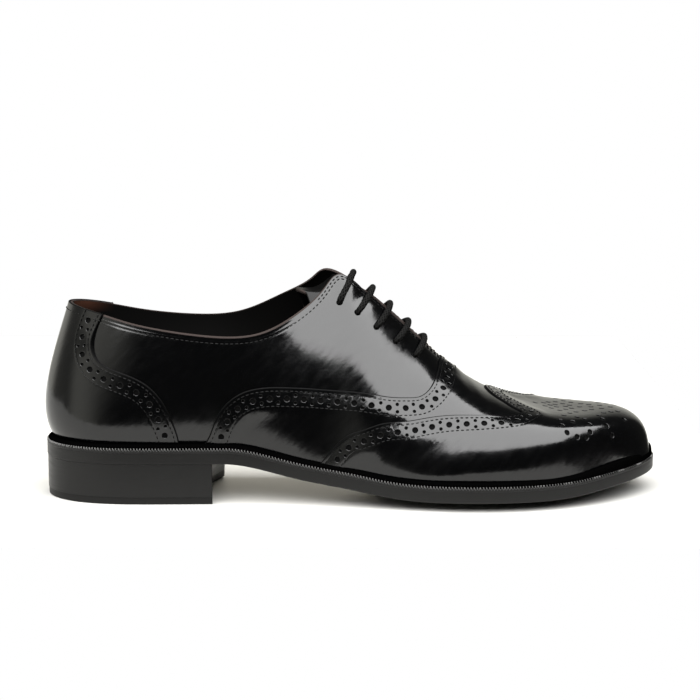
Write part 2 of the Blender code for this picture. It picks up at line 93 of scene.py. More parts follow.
# Edge of the sole seen from above, once round from the back of the heel along the lateral side
SOLE_EDGE = np.array([
    # x, y
    (-152.2, 0.0), (-146.5, -17.0), (-128.0, -29.6), (-100.0, -33.0), (-66.0, -32.4),
    (-30.0, -34.0), (0.0, -39.0), (28.0, -45.6), (55.0, -49.8), (80.0, -48.6),
    (105.0, -41.5), (128.0, -28.4), (146.0, -10.5), (154.0, 8.0), (149.4, 25.0),
    (135.0, 38.8), (112.0, 47.6), (85.0, 51.2), (60.0, 48.0), (33.0, 39.5),
    (3.0, 31.4), (-30.0, 28.2), (-66.0, 30.2), (-100.0, 32.6), (-128.0, 29.4), (-146.5, 17.0)])

# Underside of the outsole along the middle of the shoe, and how much its edges turn up
SOLE_LINE = np.array([
    # x, height, slope, edge_rise
    (-160.0, HEEL_LIFT, 0.0, 0.0),
    (-62.0, HEEL_LIFT, 0.0, 0.0),
    (-30.0, 12.3, -0.235, 1.8),
    (10.0, 3.9, -0.19, 3.4),
    (46.0, 0.0, 0.0, 4.6),
    (82.0, 0.0, 0.0, 4.6),
    (120.0, 4.2, 0.15, 2.4),
    (160.0, 11.4, 0.21, 0.4)])
FLAT_SHARE = 0.3

# Sections of the upper's outer face, from the back of the heel to the toe, one table a side
COLUMNS = ("along", "top_x", "top_y", "top_z", "bulge", "rise", "lead",
           "crown_x", "crown_y", "crown_z")
HEEL_BACK = (0, -139.2, 0, 96.6, 11, 14, 0, -6.4, 0, -22)
LATERAL_SECTIONS = (
    (23, -133.4, -12.5, 95.4, 9.4, 14, 0, -4.5, -4.5, -22),
    (46, -119.5, -21.0, 92.2, 6.5, 15, 0, -1, -6, -22),
    (72, -100.0, -26.8, 87.6, 4.5, 17, 0, 0, -5, -20),
    (106, -70.0, -29.6, 83.4, 3, 18, 0, 0, -2, -20),
    (132, -46.5, -27.0, 83.6, 2, 21, 0, 0, -3, -20),
    (150, -29.5, -20.0, 90.6, 1, 26, 0, 2, -5.5, -18),
    (165, -14.2, -9.8, 102.8, 2.5, 31, 0, 4, -13, -16),
    (178, -3.0, -4.8, 110.4, 4, 30, 0, 4, -13, -11),
    (200, 20.0, -3.0, 91.4, 4.5, 13, 0, 2, -12.5, -7),
    (222, 45.0, 3.0, 68.2, 7, 22, 0, 0, -15, 0),
    (240, 66.0, 5.0, 52.6, 5.5, 27, 0, 0, -28, 0),
    (258, 92.0, 6.6, 42.8, 2.5, 30, 1, 0, -38, 0),
    (274, 118.0, 7.4, 40.2, -0.5, 27, 3, 0, -38, 0),
    (287, 136.6, 7.8, 39.5, -0.8, 17, 5, 0, -31, 0),
    (296, 147.4, 8.0, 32.2, -0.3, 7, 8, 0, -20, 0),
    (302, 150.8, 8.0, 20.0, 0, 1, 11, 0, -17, 0))
MEDIAL_SECTIONS = (
    (23, -133.4, 12.5, 95.4, 9.4, 14, 0, -4.5, 4.5, -22),
    (46, -119.5, 21.0, 92.2, 6.5, 15, 0, -1, 6, -22),
    (72, -99.4, 27.4, 87.9, 5, 17, 0, 0, 5, -20),
    (105, -70.0, 29.4, 86.0, 6, 18, 0, 0, 4, -20),
    (130, -50.0, 25.8, 90.2, 8, 21, 0, 0, 7, -20),
    (148, -34.0, 19.6, 98.2, 9, 26, 0, 2, 9, -18),
    (163, -20.0, 11.6, 106.8, 9, 31, 0, 4, 14, -13),
    (176, -8.0, 6.4, 111.6, 8.5, 34, 0, 4, 12, -11),
    (200, 19.0, 7.0, 92.4, 7.5, 30, 0, 2, 11.5, -7),
    (224, 45.0, 3.0, 68.2, 6, 26, 0, 0, 15, 0),
    (242, 66.0, 5.0, 52.6, 5, 23, 0, 0, 21, 0),
    (261, 92.0, 6.6, 42.8, 2.5, 28, 1, 0, 32, 0),
    (279, 118.0, 7.4, 40.2, 0, 26, 3, 0, 31, 0),
    (294, 136.6, 7.8, 39.5, -0.6, 16, 5, 0, 24, 0),
    (303, 147.4, 8.0, 32.2, -0.3, 7, 7, 0, 15, 0),
    (309, 150.8, 8.0, 20.0, 0, 1, 9, 0, 12, 0))
CORNER = 8
THROAT = 10
TOE = 16

# Panel edges on each side, foot first: section number and share of the wall's height
COUNTER_EDGE = ((3.20, 0.0), (3.19, 0.06), (3.15, 0.21), (3.07, 0.40), (2.89, 0.525), (2.27, 0.62),
                (1.80, 0.68), (1.67, 0.765), (1.75, 0.88), (1.95, 1.0))
VAMP_EDGE = ((3.55, 0.0), (3.60, 0.05), (3.73, 0.20), (3.91, 0.34), (4.15, 0.45), (4.42, 0.525),
             (4.76, 0.565), (5.10, 0.565), (5.50, 0.535), (6.00, 0.485), (6.56, 0.433), (7.21, 0.383),
             (7.97, 0.368), (8.54, 0.42), (9.02, 0.484), (9.22, 0.508), (9.37, 0.535), (9.52, 0.575),
             (9.65, 0.625), (9.79, 0.70), (9.91, 0.80), (9.98, 0.90), (10.02, 1.0))
WING_SIDE = ((5.85, 0.0), (6.09, 0.065), (6.36, 0.124), (6.66, 0.167), (6.98, 0.19), (7.40, 0.20),
             (7.85, 0.225), (8.19, 0.265), (8.75, 0.345), (9.26, 0.405), (9.80, 0.427), (10.14, 0.438),
             (10.54, 0.466), (10.82, 0.493), (11.09, 0.52), (11.35, 0.558), (11.54, 0.61), (11.66, 0.66))
WING_TOP = ((11.66, 0.66), (11.63, 0.685), (11.52, 0.72), (11.38, 0.785), (11.22, 0.84), (11.11, 0.91),
            (11.06, 1.0))

# Holes of the toe medallion on each side: section number and share of the wall's height
MEDALLION = (
    (12.22, 0.96), (12.44, 0.97), (12.73, 0.96), (13.16, 0.93), (13.42, 0.955), (12.32, 0.92),
    (12.47, 0.88), (12.60, 0.925), (12.99, 0.90), (13.44, 0.835), (13.65, 0.865), (13.86, 0.89),
    (12.65, 0.815), (12.79, 0.86), (13.32, 0.76), (13.44, 0.675), (13.64, 0.55), (14.00, 0.436),
    (14.12, 0.733))
MEDALLION_RIDGE = (12.05, 12.33, 12.63, 12.92, 13.18, 13.69)
ROSETTE = (
    (12.51, 0.73), (12.41, 0.595), (12.44, 0.487), (12.57, 0.388), (12.87, 0.34), (13.16, 0.345),
    (13.22, 0.42), (13.12, 0.54), (12.97, 0.65), (12.79, 0.705))
ROSETTE_MIDDLE = (12.69, 0.575)

# Soft dips pressed into the upper where the facings are pulled together
DIPS = (
    # places along the dip as section number and share of height, depth and reach in millimetres
    (((9.25, 0.455), (9.43, 0.48), (9.66, 0.53), (9.9, 0.62), (10.1, 0.8)), 1.6, 8.0),
    (((8.25, 0.82), (8.45, 0.92)), 1.0, 5.0))

# Free end of the tongue, moved back step by step from the corner of the facings
TONGUE_SHARE = 0.30
TONGUE_TUCK = 0.8
TONGUE_END = ((-7.0, -5.4, 0.94), (-13.0, -6.8, 0.84), (-18.5, -6.4, 0.7))   # x, z, width share


def unit(vectors):
    """Vectors brought to length one."""
    return vectors / np.linalg.norm(vectors, axis=-1, keepdims=True)


def arc_length(points):
    """Distance along a line of points, from its first point."""
    return np.concatenate([[0.0], np.cumsum(np.linalg.norm(np.diff(points, axis=0), axis=1))])


def read_at(line, along, at):
    """Values of a line's columns at places between the knots along it."""
    return np.stack([np.interp(at, along, column) for column in line.T], axis=1)


def fan_out(turns, first, second):
    """Directions at given angles from a first direction towards a second one."""
    return np.cos(turns)[:, None] * first[..., None, :] + np.sin(turns)[:, None] * second[..., None, :]


def blocks(places, most=3000):
    """Numbers of the places in groups small enough to work on at once."""
    return np.array_split(np.arange(len(places)), len(places) // most + 1)


def natural_spline(knots, values, at):
    """Natural cubic spline through values at knots, column by column."""
    knots = np.asarray(knots, float)
    values = np.asarray(values, float)
    step = np.diff(knots)
    count = len(knots)
    system = np.eye(count)
    load = np.zeros_like(values)
    for i in range(1, count - 1):
        system[i, i - 1:i + 2] = step[i - 1], 2 * (step[i - 1] + step[i]), step[i]
        load[i] = 6 * ((values[i + 1] - values[i]) / step[i] - (values[i] - values[i - 1]) / step[i - 1])
    bend = np.linalg.solve(system, load)
    i = np.clip(np.searchsorted(knots, at, side="right") - 1, 0, count - 2)
    a = ((knots[i + 1] - at) / step[i])[:, None]
    b = 1 - a
    curve = ((a**3 - a) * bend[i] + (b**3 - b) * bend[i + 1]) * step[i][:, None] ** 2 / 6
    return a * values[i] + b * values[i + 1] + curve


def hermite(table, column, slopes, at):
    """Cubic through a column of a table with given slopes."""
    x = table[:, 0]
    i = np.clip(np.searchsorted(x, at, side="right") - 1, 0, len(x) - 2)
    width = x[i + 1] - x[i]
    t = (at - x[i]) / width
    rise = t * t * (3 - 2 * t)
    return (table[i, column] * (1 - rise) + table[i + 1, column] * rise
            + width * (t * (1 - t) ** 2 * slopes[i] - t * t * (1 - t) * slopes[i + 1]))


def smooth_line(points, spacing):
    """Natural spline through a few points, read at about even spacing."""
    points = np.asarray(points, float)
    knots = arc_length(points)
    return evenly(natural_spline(knots, points, np.linspace(0, knots[-1], 60 * len(points))), spacing)


def evenly(line, spacing):
    """A line read again at even steps of about the given spacing."""
    along = arc_length(line)
    at = np.linspace(0, along[-1], max(2, int(round(along[-1] / spacing)) + 1))
    return read_at(line, along, at)


def edge_loop(count=960):
    """The sole's edge as a closed smooth curve: points and outward normals."""
    wrap = 5
    ring = np.vstack([SOLE_EDGE[-wrap:], SOLE_EDGE, SOLE_EDGE[:wrap + 1]])
    knots = arc_length(ring)
    knots -= knots[wrap]
    around = knots[wrap + len(SOLE_EDGE)]
    points = natural_spline(knots, ring, np.arange(count) * around / count)
    ahead = unit(np.roll(points, -1, axis=0) - np.roll(points, 1, axis=0))
    return points, np.stack([ahead[:, 1], -ahead[:, 0]], axis=1)


EDGE, OUTWARD = edge_loop()
TIP = np.argmax(EDGE[:, 0])


def frame_shift():
    """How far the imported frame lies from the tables' own frame, read from the outsole's box."""
    low, high = (np.array(corner)[:2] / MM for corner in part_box("outsole"))
    shift = (low + high) / 2 - (EDGE.min(axis=0) + EDGE.max(axis=0)) / 2
    return np.array([*shift, 0.0])


SHIFT = frame_shift()


def edge_sides(x):
    """Lateral and medial y of the sole's edge at x."""
    lateral = EDGE[:TIP + 1]
    medial = np.vstack([EDGE[TIP:], EDGE[:1]])[::-1]
    return np.interp(x, *lateral.T), np.interp(x, *medial.T)


def sole_height(x, y):
    """Underside of the outsole: the middle line plus the turned-up edges."""
    lateral, medial = edge_sides(x)
    across = np.abs(2 * y - lateral - medial) / np.maximum(medial - lateral, 1.0)
    turn = np.clip((across - FLAT_SHARE) / (1 - FLAT_SHARE), 0, 1) ** 2
    middle = hermite(SOLE_LINE, 1, SOLE_LINE[:, 2], x)
    rise = hermite(SOLE_LINE, 3, np.zeros(len(SOLE_LINE)), x)
    return middle + rise * turn


def seat_height(x):
    """Top of the welt, level from side to side."""
    lateral, _ = edge_sides(x)
    return sole_height(x, lateral) + OUTSOLE_THICK + CURVED_GAP + WELT_THICK


def foot_line(along):
    """Foot of the upper at signed distances from the heel back (lateral negative), with directions."""
    points = EDGE - UPPER_INSET * OUTWARD
    distance = arc_length(np.vstack([points, points[:1]]))
    total = distance[-1]
    place = np.mod(-along, total)
    x, y, out_x, out_y = (np.interp(place, distance[:-1], column, period=total)
                          for column in np.hstack([points, OUTWARD]).T)
    level = np.zeros_like(x)
    return np.stack([x, y, seat_height(x) + GAP], axis=1), np.stack([out_x, out_y, level], axis=1)


def section_values(u):
    """All columns of the section tables at signed section numbers u (lateral negative)."""
    lateral = np.array(LATERAL_SECTIONS, float)[::-1]
    lateral[:, COLUMNS.index("along")] *= -1
    table = np.vstack([lateral, [HEEL_BACK], MEDIAL_SECTIONS])
    return natural_spline(np.arange(-TOE, TOE + 1), table, u)


def upper_at(u, v):
    """Outer face of the upper at signed section u and share v of the wall's height.

    Each section is a cubic curve from the foot line to the collar, facing or ridge. The two sides
    share one upper end in front of the throat.
    """
    u, v = np.broadcast_arrays(np.asarray(u, float), np.asarray(v, float))
    shape = u.shape
    u, v = u.ravel(), v.ravel()
    row = dict(zip(COLUMNS, section_values(u).T))
    twin = dict(zip(COLUMNS, section_values(-u).T))
    closed = np.abs(u) >= THROAT
    foot, outward = foot_line(row["along"])
    ahead = np.stack([outward[:, 1], -outward[:, 0], 0 * u], axis=1) * np.sign(u)[:, None]
    top = np.stack([np.where(closed, (row[k] + twin[k]) / 2, row[k])
                    for k in ("top_x", "top_y", "top_z")], axis=1)
    crown = np.stack([np.where(closed, 0, row["crown_x"]), row["crown_y"],
                      np.where(closed, 0, row["crown_z"])], axis=1)
    up = np.array([0.0, 0.0, 1.0])
    pull = row["bulge"][:, None] * outward + row["rise"][:, None] * up + row["lead"][:, None] * ahead
    w = v[:, None]
    points = ((1 - w) ** 3 * foot + 3 * (1 - w) ** 2 * w * (foot + pull)
              + 3 * (1 - w) * w**2 * (top + crown) + w**3 * top)
    return points.reshape(*shape, 3)


def face_normal(u, v):
    """Outward normal of the upper's outer face, from its slopes along and across the sections."""
    nudge = 0.02
    ahead = upper_at(np.minimum(u + nudge, TOE), v) - upper_at(np.maximum(u - nudge, -TOE), v)
    up = upper_at(u, v + nudge) - upper_at(u, v - nudge)
    return unit(np.cross(up, ahead))


def raised(u, v, lift):
    """Point of the outer face moved out along its normal."""
    return upper_at(u, v) + np.asarray(lift)[..., None] * face_normal(u, v)


class Chart:
    """The wall of the upper laid flat in millimetres: distance along the shoe and up the wall.

    The back chart runs from side to side round the heel, with the welt at its lower edge. The front
    chart runs from heel to toe, with the ridge of the vamp along its middle line.
    """

    def __init__(self, over_ridge):
        self.over_ridge = over_ridge
        self.hand = 1 if over_ridge else -1
        self.u = np.linspace(0, TOE, 321)
        v = np.linspace(0, 1, 41)
        walls = [upper_at(side * self.u[:, None], v[None, :]) for side in (-1, 1)]
        self.height = sum(np.linalg.norm(np.diff(w, axis=1), axis=2).sum(axis=1) for w in walls) / 2
        self.along = sum(arc_length(w[:, len(v) // 2]) for w in walls) / 2

    def lay(self, u, v):
        """Chart place of a section number and share of height."""
        u, v = np.asarray(u, float), np.asarray(v, float)
        along = np.interp(np.abs(u), self.u, self.along)
        height = np.interp(np.abs(u), self.u, self.height)
        if self.over_ridge:
            return np.stack([along, np.sign(u) * (1 - v) * height], axis=-1)
        return np.stack([np.sign(u) * along, v * height], axis=-1)

    def find(self, places):
        """Section number and share of height of a chart place."""
        first, second = places[..., 0], places[..., 1]
        u = np.interp(np.abs(first), self.along, self.u)
        height = np.interp(u, self.u, self.height)
        if self.over_ridge:
            return np.where(second < 0, -u, u), 1 - np.abs(second) / height
        return np.where(first < 0, -u, u), second / height

    def point(self, places, lift=0.0):
        """Point in space of a chart place."""
        u, v = self.find(places)
        return raised(u, v, np.broadcast_to(lift, u.shape))

    def slopes(self, places):
        """Directions in space of the chart's two axes, and the outward normal."""
        nudge = 0.1
        step = np.array([nudge, 0.0])
        rise = np.array([0.0, nudge])
        first = (self.bare(places + step) - self.bare(places - step)) / (2 * nudge)
        second = (self.bare(places + rise) - self.bare(places - rise)) / (2 * nudge)
        return first, second, face_normal(*self.find(places))

    def bare(self, places):
        """Point of the outer face at a chart place, with no lift."""
        return upper_at(*self.find(places))

    def nearest(self, points, guess):
        """Chart places whose points on the face lie nearest to given points, by a few Newton steps."""
        places = np.array(guess)
        for _ in range(6):
            first, second, _ = self.slopes(places)
            back = np.linalg.pinv(np.stack([first, second], axis=-1))
            step = np.einsum("nij,nj->ni", back, points - self.bare(places))
            places = places + np.clip(step, -4, 4)
        return places

    def shifted(self, places, move):
        """Chart places moved by short steps in space."""
        first, second, _ = self.slopes(places)
        back = np.linalg.pinv(np.stack([first, second], axis=-1))
        return self.nearest(self.bare(places) + move, places + np.einsum("nij,nj->ni", back, move))

    def circle(self, centres, radius, turns):
        """Chart places of circles drawn on the face round given centres: centres by turns by 2."""
        first, second, _ = self.slopes(centres)
        right = unit(first)
        upward = unit(second - (second * right).sum(axis=-1, keepdims=True) * right)
        spokes = radius * fan_out(turns, right, upward)
        back = np.linalg.pinv(np.stack([first, second], axis=-1))
        return centres[:, None] + np.einsum("nij,nkj->nki", back, spokes)


def inset(chart, line, distance):
    """A chart line moved over the face to its left by a true distance, with mitred corners."""
    ahead = unit(np.diff(chart.bare(line), axis=0))
    normal = chart.hand * face_normal(*chart.find(line))
    before = unit(np.cross(normal, np.vstack([ahead[:1], ahead])))
    after = unit(np.cross(normal, np.vstack([ahead, ahead[-1:]])))
    mitre = 1 + (before * after).sum(axis=1, keepdims=True)
    return chart.shifted(line, distance * (before + after) / mitre)


def row_inside(chart, line, distance):
    """A chart line moved to its left, without the loops that form at tight corners."""
    moved = inset(chart, line, distance)
    kept_share, slack = 0.985, 0.03
    return moved[distance_to(chart.bare(line), chart.bare(moved)) > kept_share * distance - slack]


def distance_to(line, places):
    """Shortest distance from each place to a chain of straight pieces, worked out block by block."""
    start, step = line[:-1], np.diff(line, axis=0)
    length = np.maximum((step**2).sum(axis=1), 1e-9)
    best = np.empty(len(places))
    for block in blocks(places):
        away = places[block][:, None] - start[None]
        share = np.clip((away * step).sum(axis=-1) / length, 0, 1)
        best[block] = np.linalg.norm(away - share[..., None] * step, axis=-1).min(axis=1)
    return best


def inside(outline, places):
    """Which places lie inside a closed outline, by counting crossings."""
    low, high = outline, np.roll(outline, -1, axis=0)
    odd = np.zeros(len(places), bool)
    for block in blocks(places):
        x, y = places[block, 0][:, None], places[block, 1][:, None]
        spans = (low[:, 1] > y) != (high[:, 1] > y)
        rise = np.where(high[:, 1] == low[:, 1], 1.0, high[:, 1] - low[:, 1])
        crossing = low[:, 0] + (y - low[:, 1]) / rise * (high[:, 0] - low[:, 0])
        odd[block] = (spans & (x < crossing)).sum(axis=1) % 2 == 1
    return odd


def grid_faces(rows, columns, closed=False):
    """Quads of a grid whose points run row by row; closed joins the last column to the first."""
    i, j = np.meshgrid(np.arange(rows - 1), np.arange(columns if closed else columns - 1), indexing="ij")
    i, j = i.ravel(), j.ravel()
    beside = (j + 1) % columns
    row, next_row = i * columns, (i + 1) * columns
    return np.stack([row + j, row + beside, next_row + beside, next_row + j], axis=1)


def put_mesh(name, points, faces, materials, normals=None, kinds=None):
    """One piece at the origin from points in millimetres; faces are arrays of one width each.

    Where normals are given, faces are turned to agree with them and they shade the piece.
    """
    points = np.asarray(points, float)
    faces = [np.asarray(block) for block in faces]
    if normals is not None:
        turned = []
        for block in faces:
            corner = points[block]
            facing = np.cross(corner[:, 1] - corner[:, 0], corner[:, 2] - corner[:, 0])
            agree = (facing * normals[block].mean(axis=1)).sum(axis=1)
            turned.append(np.where((agree < 0)[:, None], block[:, ::-1], block))
        faces = turned
    mesh = bpy.data.meshes.new(name)
    mesh.from_pydata(((points + SHIFT) * MM).tolist(), [], [f for block in faces for f in block.tolist()])
    for material in materials:
        mesh.materials.append(material)
    mesh.polygons.foreach_set("use_smooth", np.ones(len(mesh.polygons), bool))
    if kinds is not None:
        mesh.polygons.foreach_set("material_index", np.concatenate(kinds).astype(np.int32))
    mesh.update()
    if normals is not None:
        mesh.normals_split_custom_set_from_vertices(unit(normals).tolist())
    piece = bpy.data.objects.new(name, mesh)
    bpy.context.scene.collection.objects.link(piece)
    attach(piece, BODY)
    return piece


def staggered(outline, spacing):
    """Points of a staggered grid that lie inside an outline."""
    row_share = 0.87
    low, high = outline.min(axis=0), outline.max(axis=0)
    x, y = np.meshgrid(np.arange(low[0], high[0], spacing), np.arange(low[1], high[1], row_share * spacing))
    x = x + (np.arange(len(x)) % 2)[:, None] * spacing / 2
    grid = np.stack([x.ravel(), y.ravel()], axis=1)
    return grid[inside(outline, grid)]


def triangulate(outline, rings, extra, spacing):
    """Triangles that fill a flat outline round its holes.

    The points are the outline, the rings of the holes, extra points along the stitch rows and a
    staggered grid kept a little away from all of these.
    """
    free_share, ring_share = 0.6, 1.1
    loops = [outline, *rings]
    fixed = np.vstack(loops)
    grid = staggered(outline, spacing)
    far = np.empty(len(grid), bool)
    known = np.vstack([fixed, extra])
    for block in blocks(grid, most=1000):
        away = np.abs(grid[block][:, None] - known[None]).max(axis=-1)
        far[block] = away.min(axis=1) > free_share * spacing
    loose = np.vstack([extra[inside(outline, extra)], grid[far]])
    for ring in rings:
        middle = ring.mean(axis=0)
        reach = ring_share * np.linalg.norm(ring - middle, axis=1).max()
        loose = loose[np.linalg.norm(loose - middle, axis=1) > reach]
    places = np.vstack([fixed, loose])
    owner = np.zeros(len(places), int)
    edges = []
    start = 0
    for number, loop in enumerate(loops):
        index = np.arange(start, start + len(loop))
        owner[index] = number
        edges.append(np.stack([index, np.roll(index, -1)], axis=1))
        start += len(loop)
    found = delaunay_2d_cdt([tuple(p) for p in places], np.vstack(edges).tolist(), [], 0, 1e-6)
    origin = np.array([group[0] if group else -1 for group in found[3]])
    triangles = origin[np.array(found[2])]
    triangles = triangles[(triangles >= 0).all(axis=1)]
    ringed = owner[triangles]
    hole = (ringed[:, 0] > 0) & (ringed == ringed[:, :1]).all(axis=1)
    triangles = triangles[~hole]
    return places, triangles[inside(outline, places[triangles].mean(axis=1))]


def shading(chart, places, lift):
    """Outward normals of a raised panel, from its slopes along the chart's two axes."""
    nudge = 0.12
    sides = []
    for step in (np.array([nudge, 0.0]), np.array([0.0, nudge])):
        after, before = places + step, places - step
        sides.append(chart.point(after, lift(after)) - chart.point(before, lift(before)))
    normal = unit(np.cross(*sides))
    outward = face_normal(*chart.find(places))
    return normal * np.sign((normal * outward).sum(axis=1, keepdims=True))


def leather_panel(name, chart, borders, holes, rows, lift, materials, roll=0.5, sink=-0.3, spacing=2.2):
    """A cut piece of leather lying on the upper: its face, rolled edges and punched holes.

    borders are chart lines in order round the panel with the leather on their left, each with
    whether its edge shows. A shown edge turns down in a quarter round of the roll's radius and goes
    on to the sink's height. holes are groups of chart centres, radius and depth. Each hole has a
    small round lip, a straight wall and a flat bottom. rows are chart lines that get close points.
    """
    parts = [inset(chart, line, roll) if shows else line[1:-1] for line, shows in borders]
    outline = np.vstack(parts)
    lip, sides = 0.22, 18
    turns = np.linspace(0, 2 * np.pi, sides, endpoint=False)
    rings = [ring for centres, radius, _ in holes for ring in chart.circle(centres, radius + lip, turns)]
    extra = np.vstack(rows) if rows else np.empty((0, 2))
    places, triangles = triangulate(outline, rings, extra, spacing)
    lifts = lift(places)
    points = [chart.point(places, lifts)]
    normals = [shading(chart, places, lift)]
    faces = [triangles]
    kinds = [np.zeros(len(triangles))]

    def add(where, facing):
        """Take in more points with their normals and give their numbers."""
        first = sum(len(block) for block in points)
        points.append(where.reshape(-1, 3))
        normals.append(facing.reshape(-1, 3))
        return first + np.arange(where.size // 3).reshape(where.shape[:-1])

    start = 0
    for (line, shows), part in zip(borders, parts):
        first = np.arange(start, start + len(part))
        start += len(part)
        if not shows:
            continue
        index = [first]
        height = lifts[first]
        out = unit(chart.bare(line) - chart.bare(inset(chart, line, 1.0)))
        for angle in np.radians((30, 60, 90)):
            ring = inset(chart, line, roll * (1 - np.sin(angle)))
            turned = chart.point(ring, height - roll * (1 - np.cos(angle)))
            index.append(add(turned, np.cos(angle) * normals[0][first] + np.sin(angle) * out))
        index.append(add(chart.point(line, sink), out))
        quads = np.concatenate(index)[grid_faces(len(index), len(line))]
        faces.append(quads)
        kinds.append(np.full(len(quads), 2))

    ring_start = len(outline)
    for centres, radius, depth in holes:
        amount = len(centres)
        first = ring_start + np.arange(amount * sides).reshape(amount, sides)
        ring_start += amount * sides
        height = lifts[first]
        upward = face_normal(*chart.find(centres))[:, None]
        middle = chart.point(centres, lift(centres))[:, None]
        spoke = points[0][first] - middle
        spoke = unit(spoke - (spoke * upward).sum(axis=-1, keepdims=True) * upward)
        levels = [first]
        for angle in np.radians((45, 90)):
            ring = chart.circle(centres, radius + lip * (1 - np.sin(angle)), turns)
            wall = chart.point(ring, height - lip * (1 - np.cos(angle)))
            levels.append(add(wall, np.cos(angle) * upward - np.sin(angle) * spoke))
        floor = wall - (depth - lip) * upward
        for direction in (-spoke, np.broadcast_to(upward, spoke.shape)):
            levels.append(add(floor, direction))
        centre = add(floor.mean(axis=1), upward[:, 0])
        for upper_ring, lower_ring, kind in zip(levels[:3], levels[1:4], (0, 0, 1)):
            quads = np.stack([upper_ring, np.roll(upper_ring, -1, axis=1),
                              np.roll(lower_ring, -1, axis=1), lower_ring], axis=-1).reshape(-1, 4)
            faces.append(quads)
            kinds.append(np.full(len(quads), kind))
        fan = np.stack([np.broadcast_to(centre[:, None], levels[4].shape), levels[4],
                        np.roll(levels[4], -1, axis=1)], axis=-1).reshape(-1, 3)
        faces.append(fan)
        kinds.append(np.ones(len(fan)))
    return put_mesh(name, np.vstack(points), faces, materials, np.vstack(normals), kinds)


def leather_set(paints):
    """Materials of a leather panel: its face, its punched holes and its cut edges."""
    return [paints[name] for name in ("leather", "hole", "cut_edge")]


BACK = Chart(over_ridge=False)
FRONT = Chart(over_ridge=True)


def edge_line(chart, table, side, spacing=0.9):
    """A panel edge on one side: a smooth curve in space through its table's points, laid on the face."""
    section, share = np.array(table).T
    knots = upper_at(side * section, share)
    along = arc_length(knots)
    at = np.linspace(0, along[-1], int(along[-1] / spacing))
    guess = chart.lay(side * np.interp(at, along, section), np.interp(at, along, share))
    return chart.nearest(natural_spline(along, knots, at), guess)


def both_sides(chart, *tables):
    """A panel edge that runs from the medial foot over the ridge to the lateral foot."""
    chain = [np.vstack([edge_line(chart, table, side) for table in tables]) for side in (1, -1)]
    chain = [line[np.append(True, np.linalg.norm(np.diff(line, axis=0), axis=1) > 1e-3)] for line in chain]
    for line in chain:
        line[-1, 1] = 0.0
    return np.vstack([chain[0], chain[1][-2::-1]])


def foot_run(chart, first, last, count=160):
    """Chart line along the foot of the wall from one section to another."""
    u = np.linspace(first, last, count)
    return chart.lay(u, np.zeros_like(u))


def along_wall(chart, line):
    """The part of a chart line that lies on the wall, between welt and top edge."""
    share = chart.find(line)[1]
    return line[(share > 0.004) & (share <= 1.0)]


def read_line(chart, line, distances):
    """Places at given true distances along a chart line, and the directions in space to its left."""
    along = arc_length(chart.bare(line))
    reach = 0.9
    before, places, after = (read_at(line, along, distances + step) for step in (-reach, 0, reach))
    ahead = chart.bare(after) - chart.bare(before)
    return places, unit(np.cross(chart.hand * face_normal(*chart.find(places)), ahead))


def true_length(chart, line):
    """Length of a chart line on the face."""
    return arc_length(chart.bare(line))[-1]


def brogue_holes(chart, sizes, edge, width):
    """Large holes along the middle of a band with a pair of small ones between each two."""
    middle = along_wall(chart, row_inside(chart, edge, (sizes.edge_row / MM + width) / 2))
    length = true_length(chart, middle)
    count = int(round(length / (sizes.hole_pitch / MM)))
    pitch = length / count
    large, _ = read_line(chart, middle, (np.arange(count) + 0.5) * pitch)
    between, left = read_line(chart, middle, np.arange(1, count) * pitch)
    spread_share = 0.2
    spread = spread_share * width
    small = np.vstack([chart.shifted(between, way * spread * left) for way in (1, -1)])
    return [(large, sizes.large_hole / MM / 2, HOLE_DEPTH),
            (small, sizes.small_hole / MM / 2, SMALL_HOLE_DEPTH)]


def kept_apart(chart, holes, outline):
    """Hole groups without those that come too near an earlier hole or the panel's outline."""
    apart, margin = 0.7, 0.5
    kept = []
    taken = np.empty((0, 3))
    sizes = np.empty(0)
    for centres, radius, depth in holes:
        chosen = []
        spots = chart.bare(centres)
        room = distance_to(chart.bare(np.vstack([outline, outline[:1]])), spots)
        for centre, spot, free in zip(centres, spots, room):
            clear = np.linalg.norm(taken - spot, axis=1) > sizes + radius + apart
            if clear.all() and free > radius + margin:
                chosen.append(centre)
                taken = np.vstack([taken, spot])
                sizes = np.append(sizes, radius)
        kept.append((np.array(chosen), radius, depth))
    return kept


def panel_lift(chart, edges, rows, at_edge, at_rest, pad=0.0):
    """Height of a panel over the bare wall: thickest by its edges, pulled down at its stitch rows.

    pad is the height of a soft swelling along the inner side of the punched band.
    """
    reach = 18.0
    pad_place, pad_reach = 9.0, 5.0
    depth, width = 0.05, 0.42
    lines = [chart.bare(edge) for edge in edges]

    def lift(places):
        points = chart.bare(places.reshape(-1, 2))
        distance = np.min([distance_to(line, points) for line in lines], axis=0)
        height = at_rest + (at_edge - at_rest) * np.exp(-((distance / reach) ** 2))
        height = height + pad * np.exp(-(((distance - pad_place) / pad_reach) ** 2))
        for row in rows:
            height = height - depth * np.exp(-(((distance - row) / width) ** 2))
        return height.reshape(places.shape[:-1])

    return lift


def groove_points(chart, lines):
    """Close points along each stitch row and to both sides of its groove."""
    spacing = 1.0
    shifts = (-1.2, -0.45, 0.0, 0.45, 1.2)
    return [evenly(inset(chart, line, shift), spacing) for line in lines for shift in shifts]


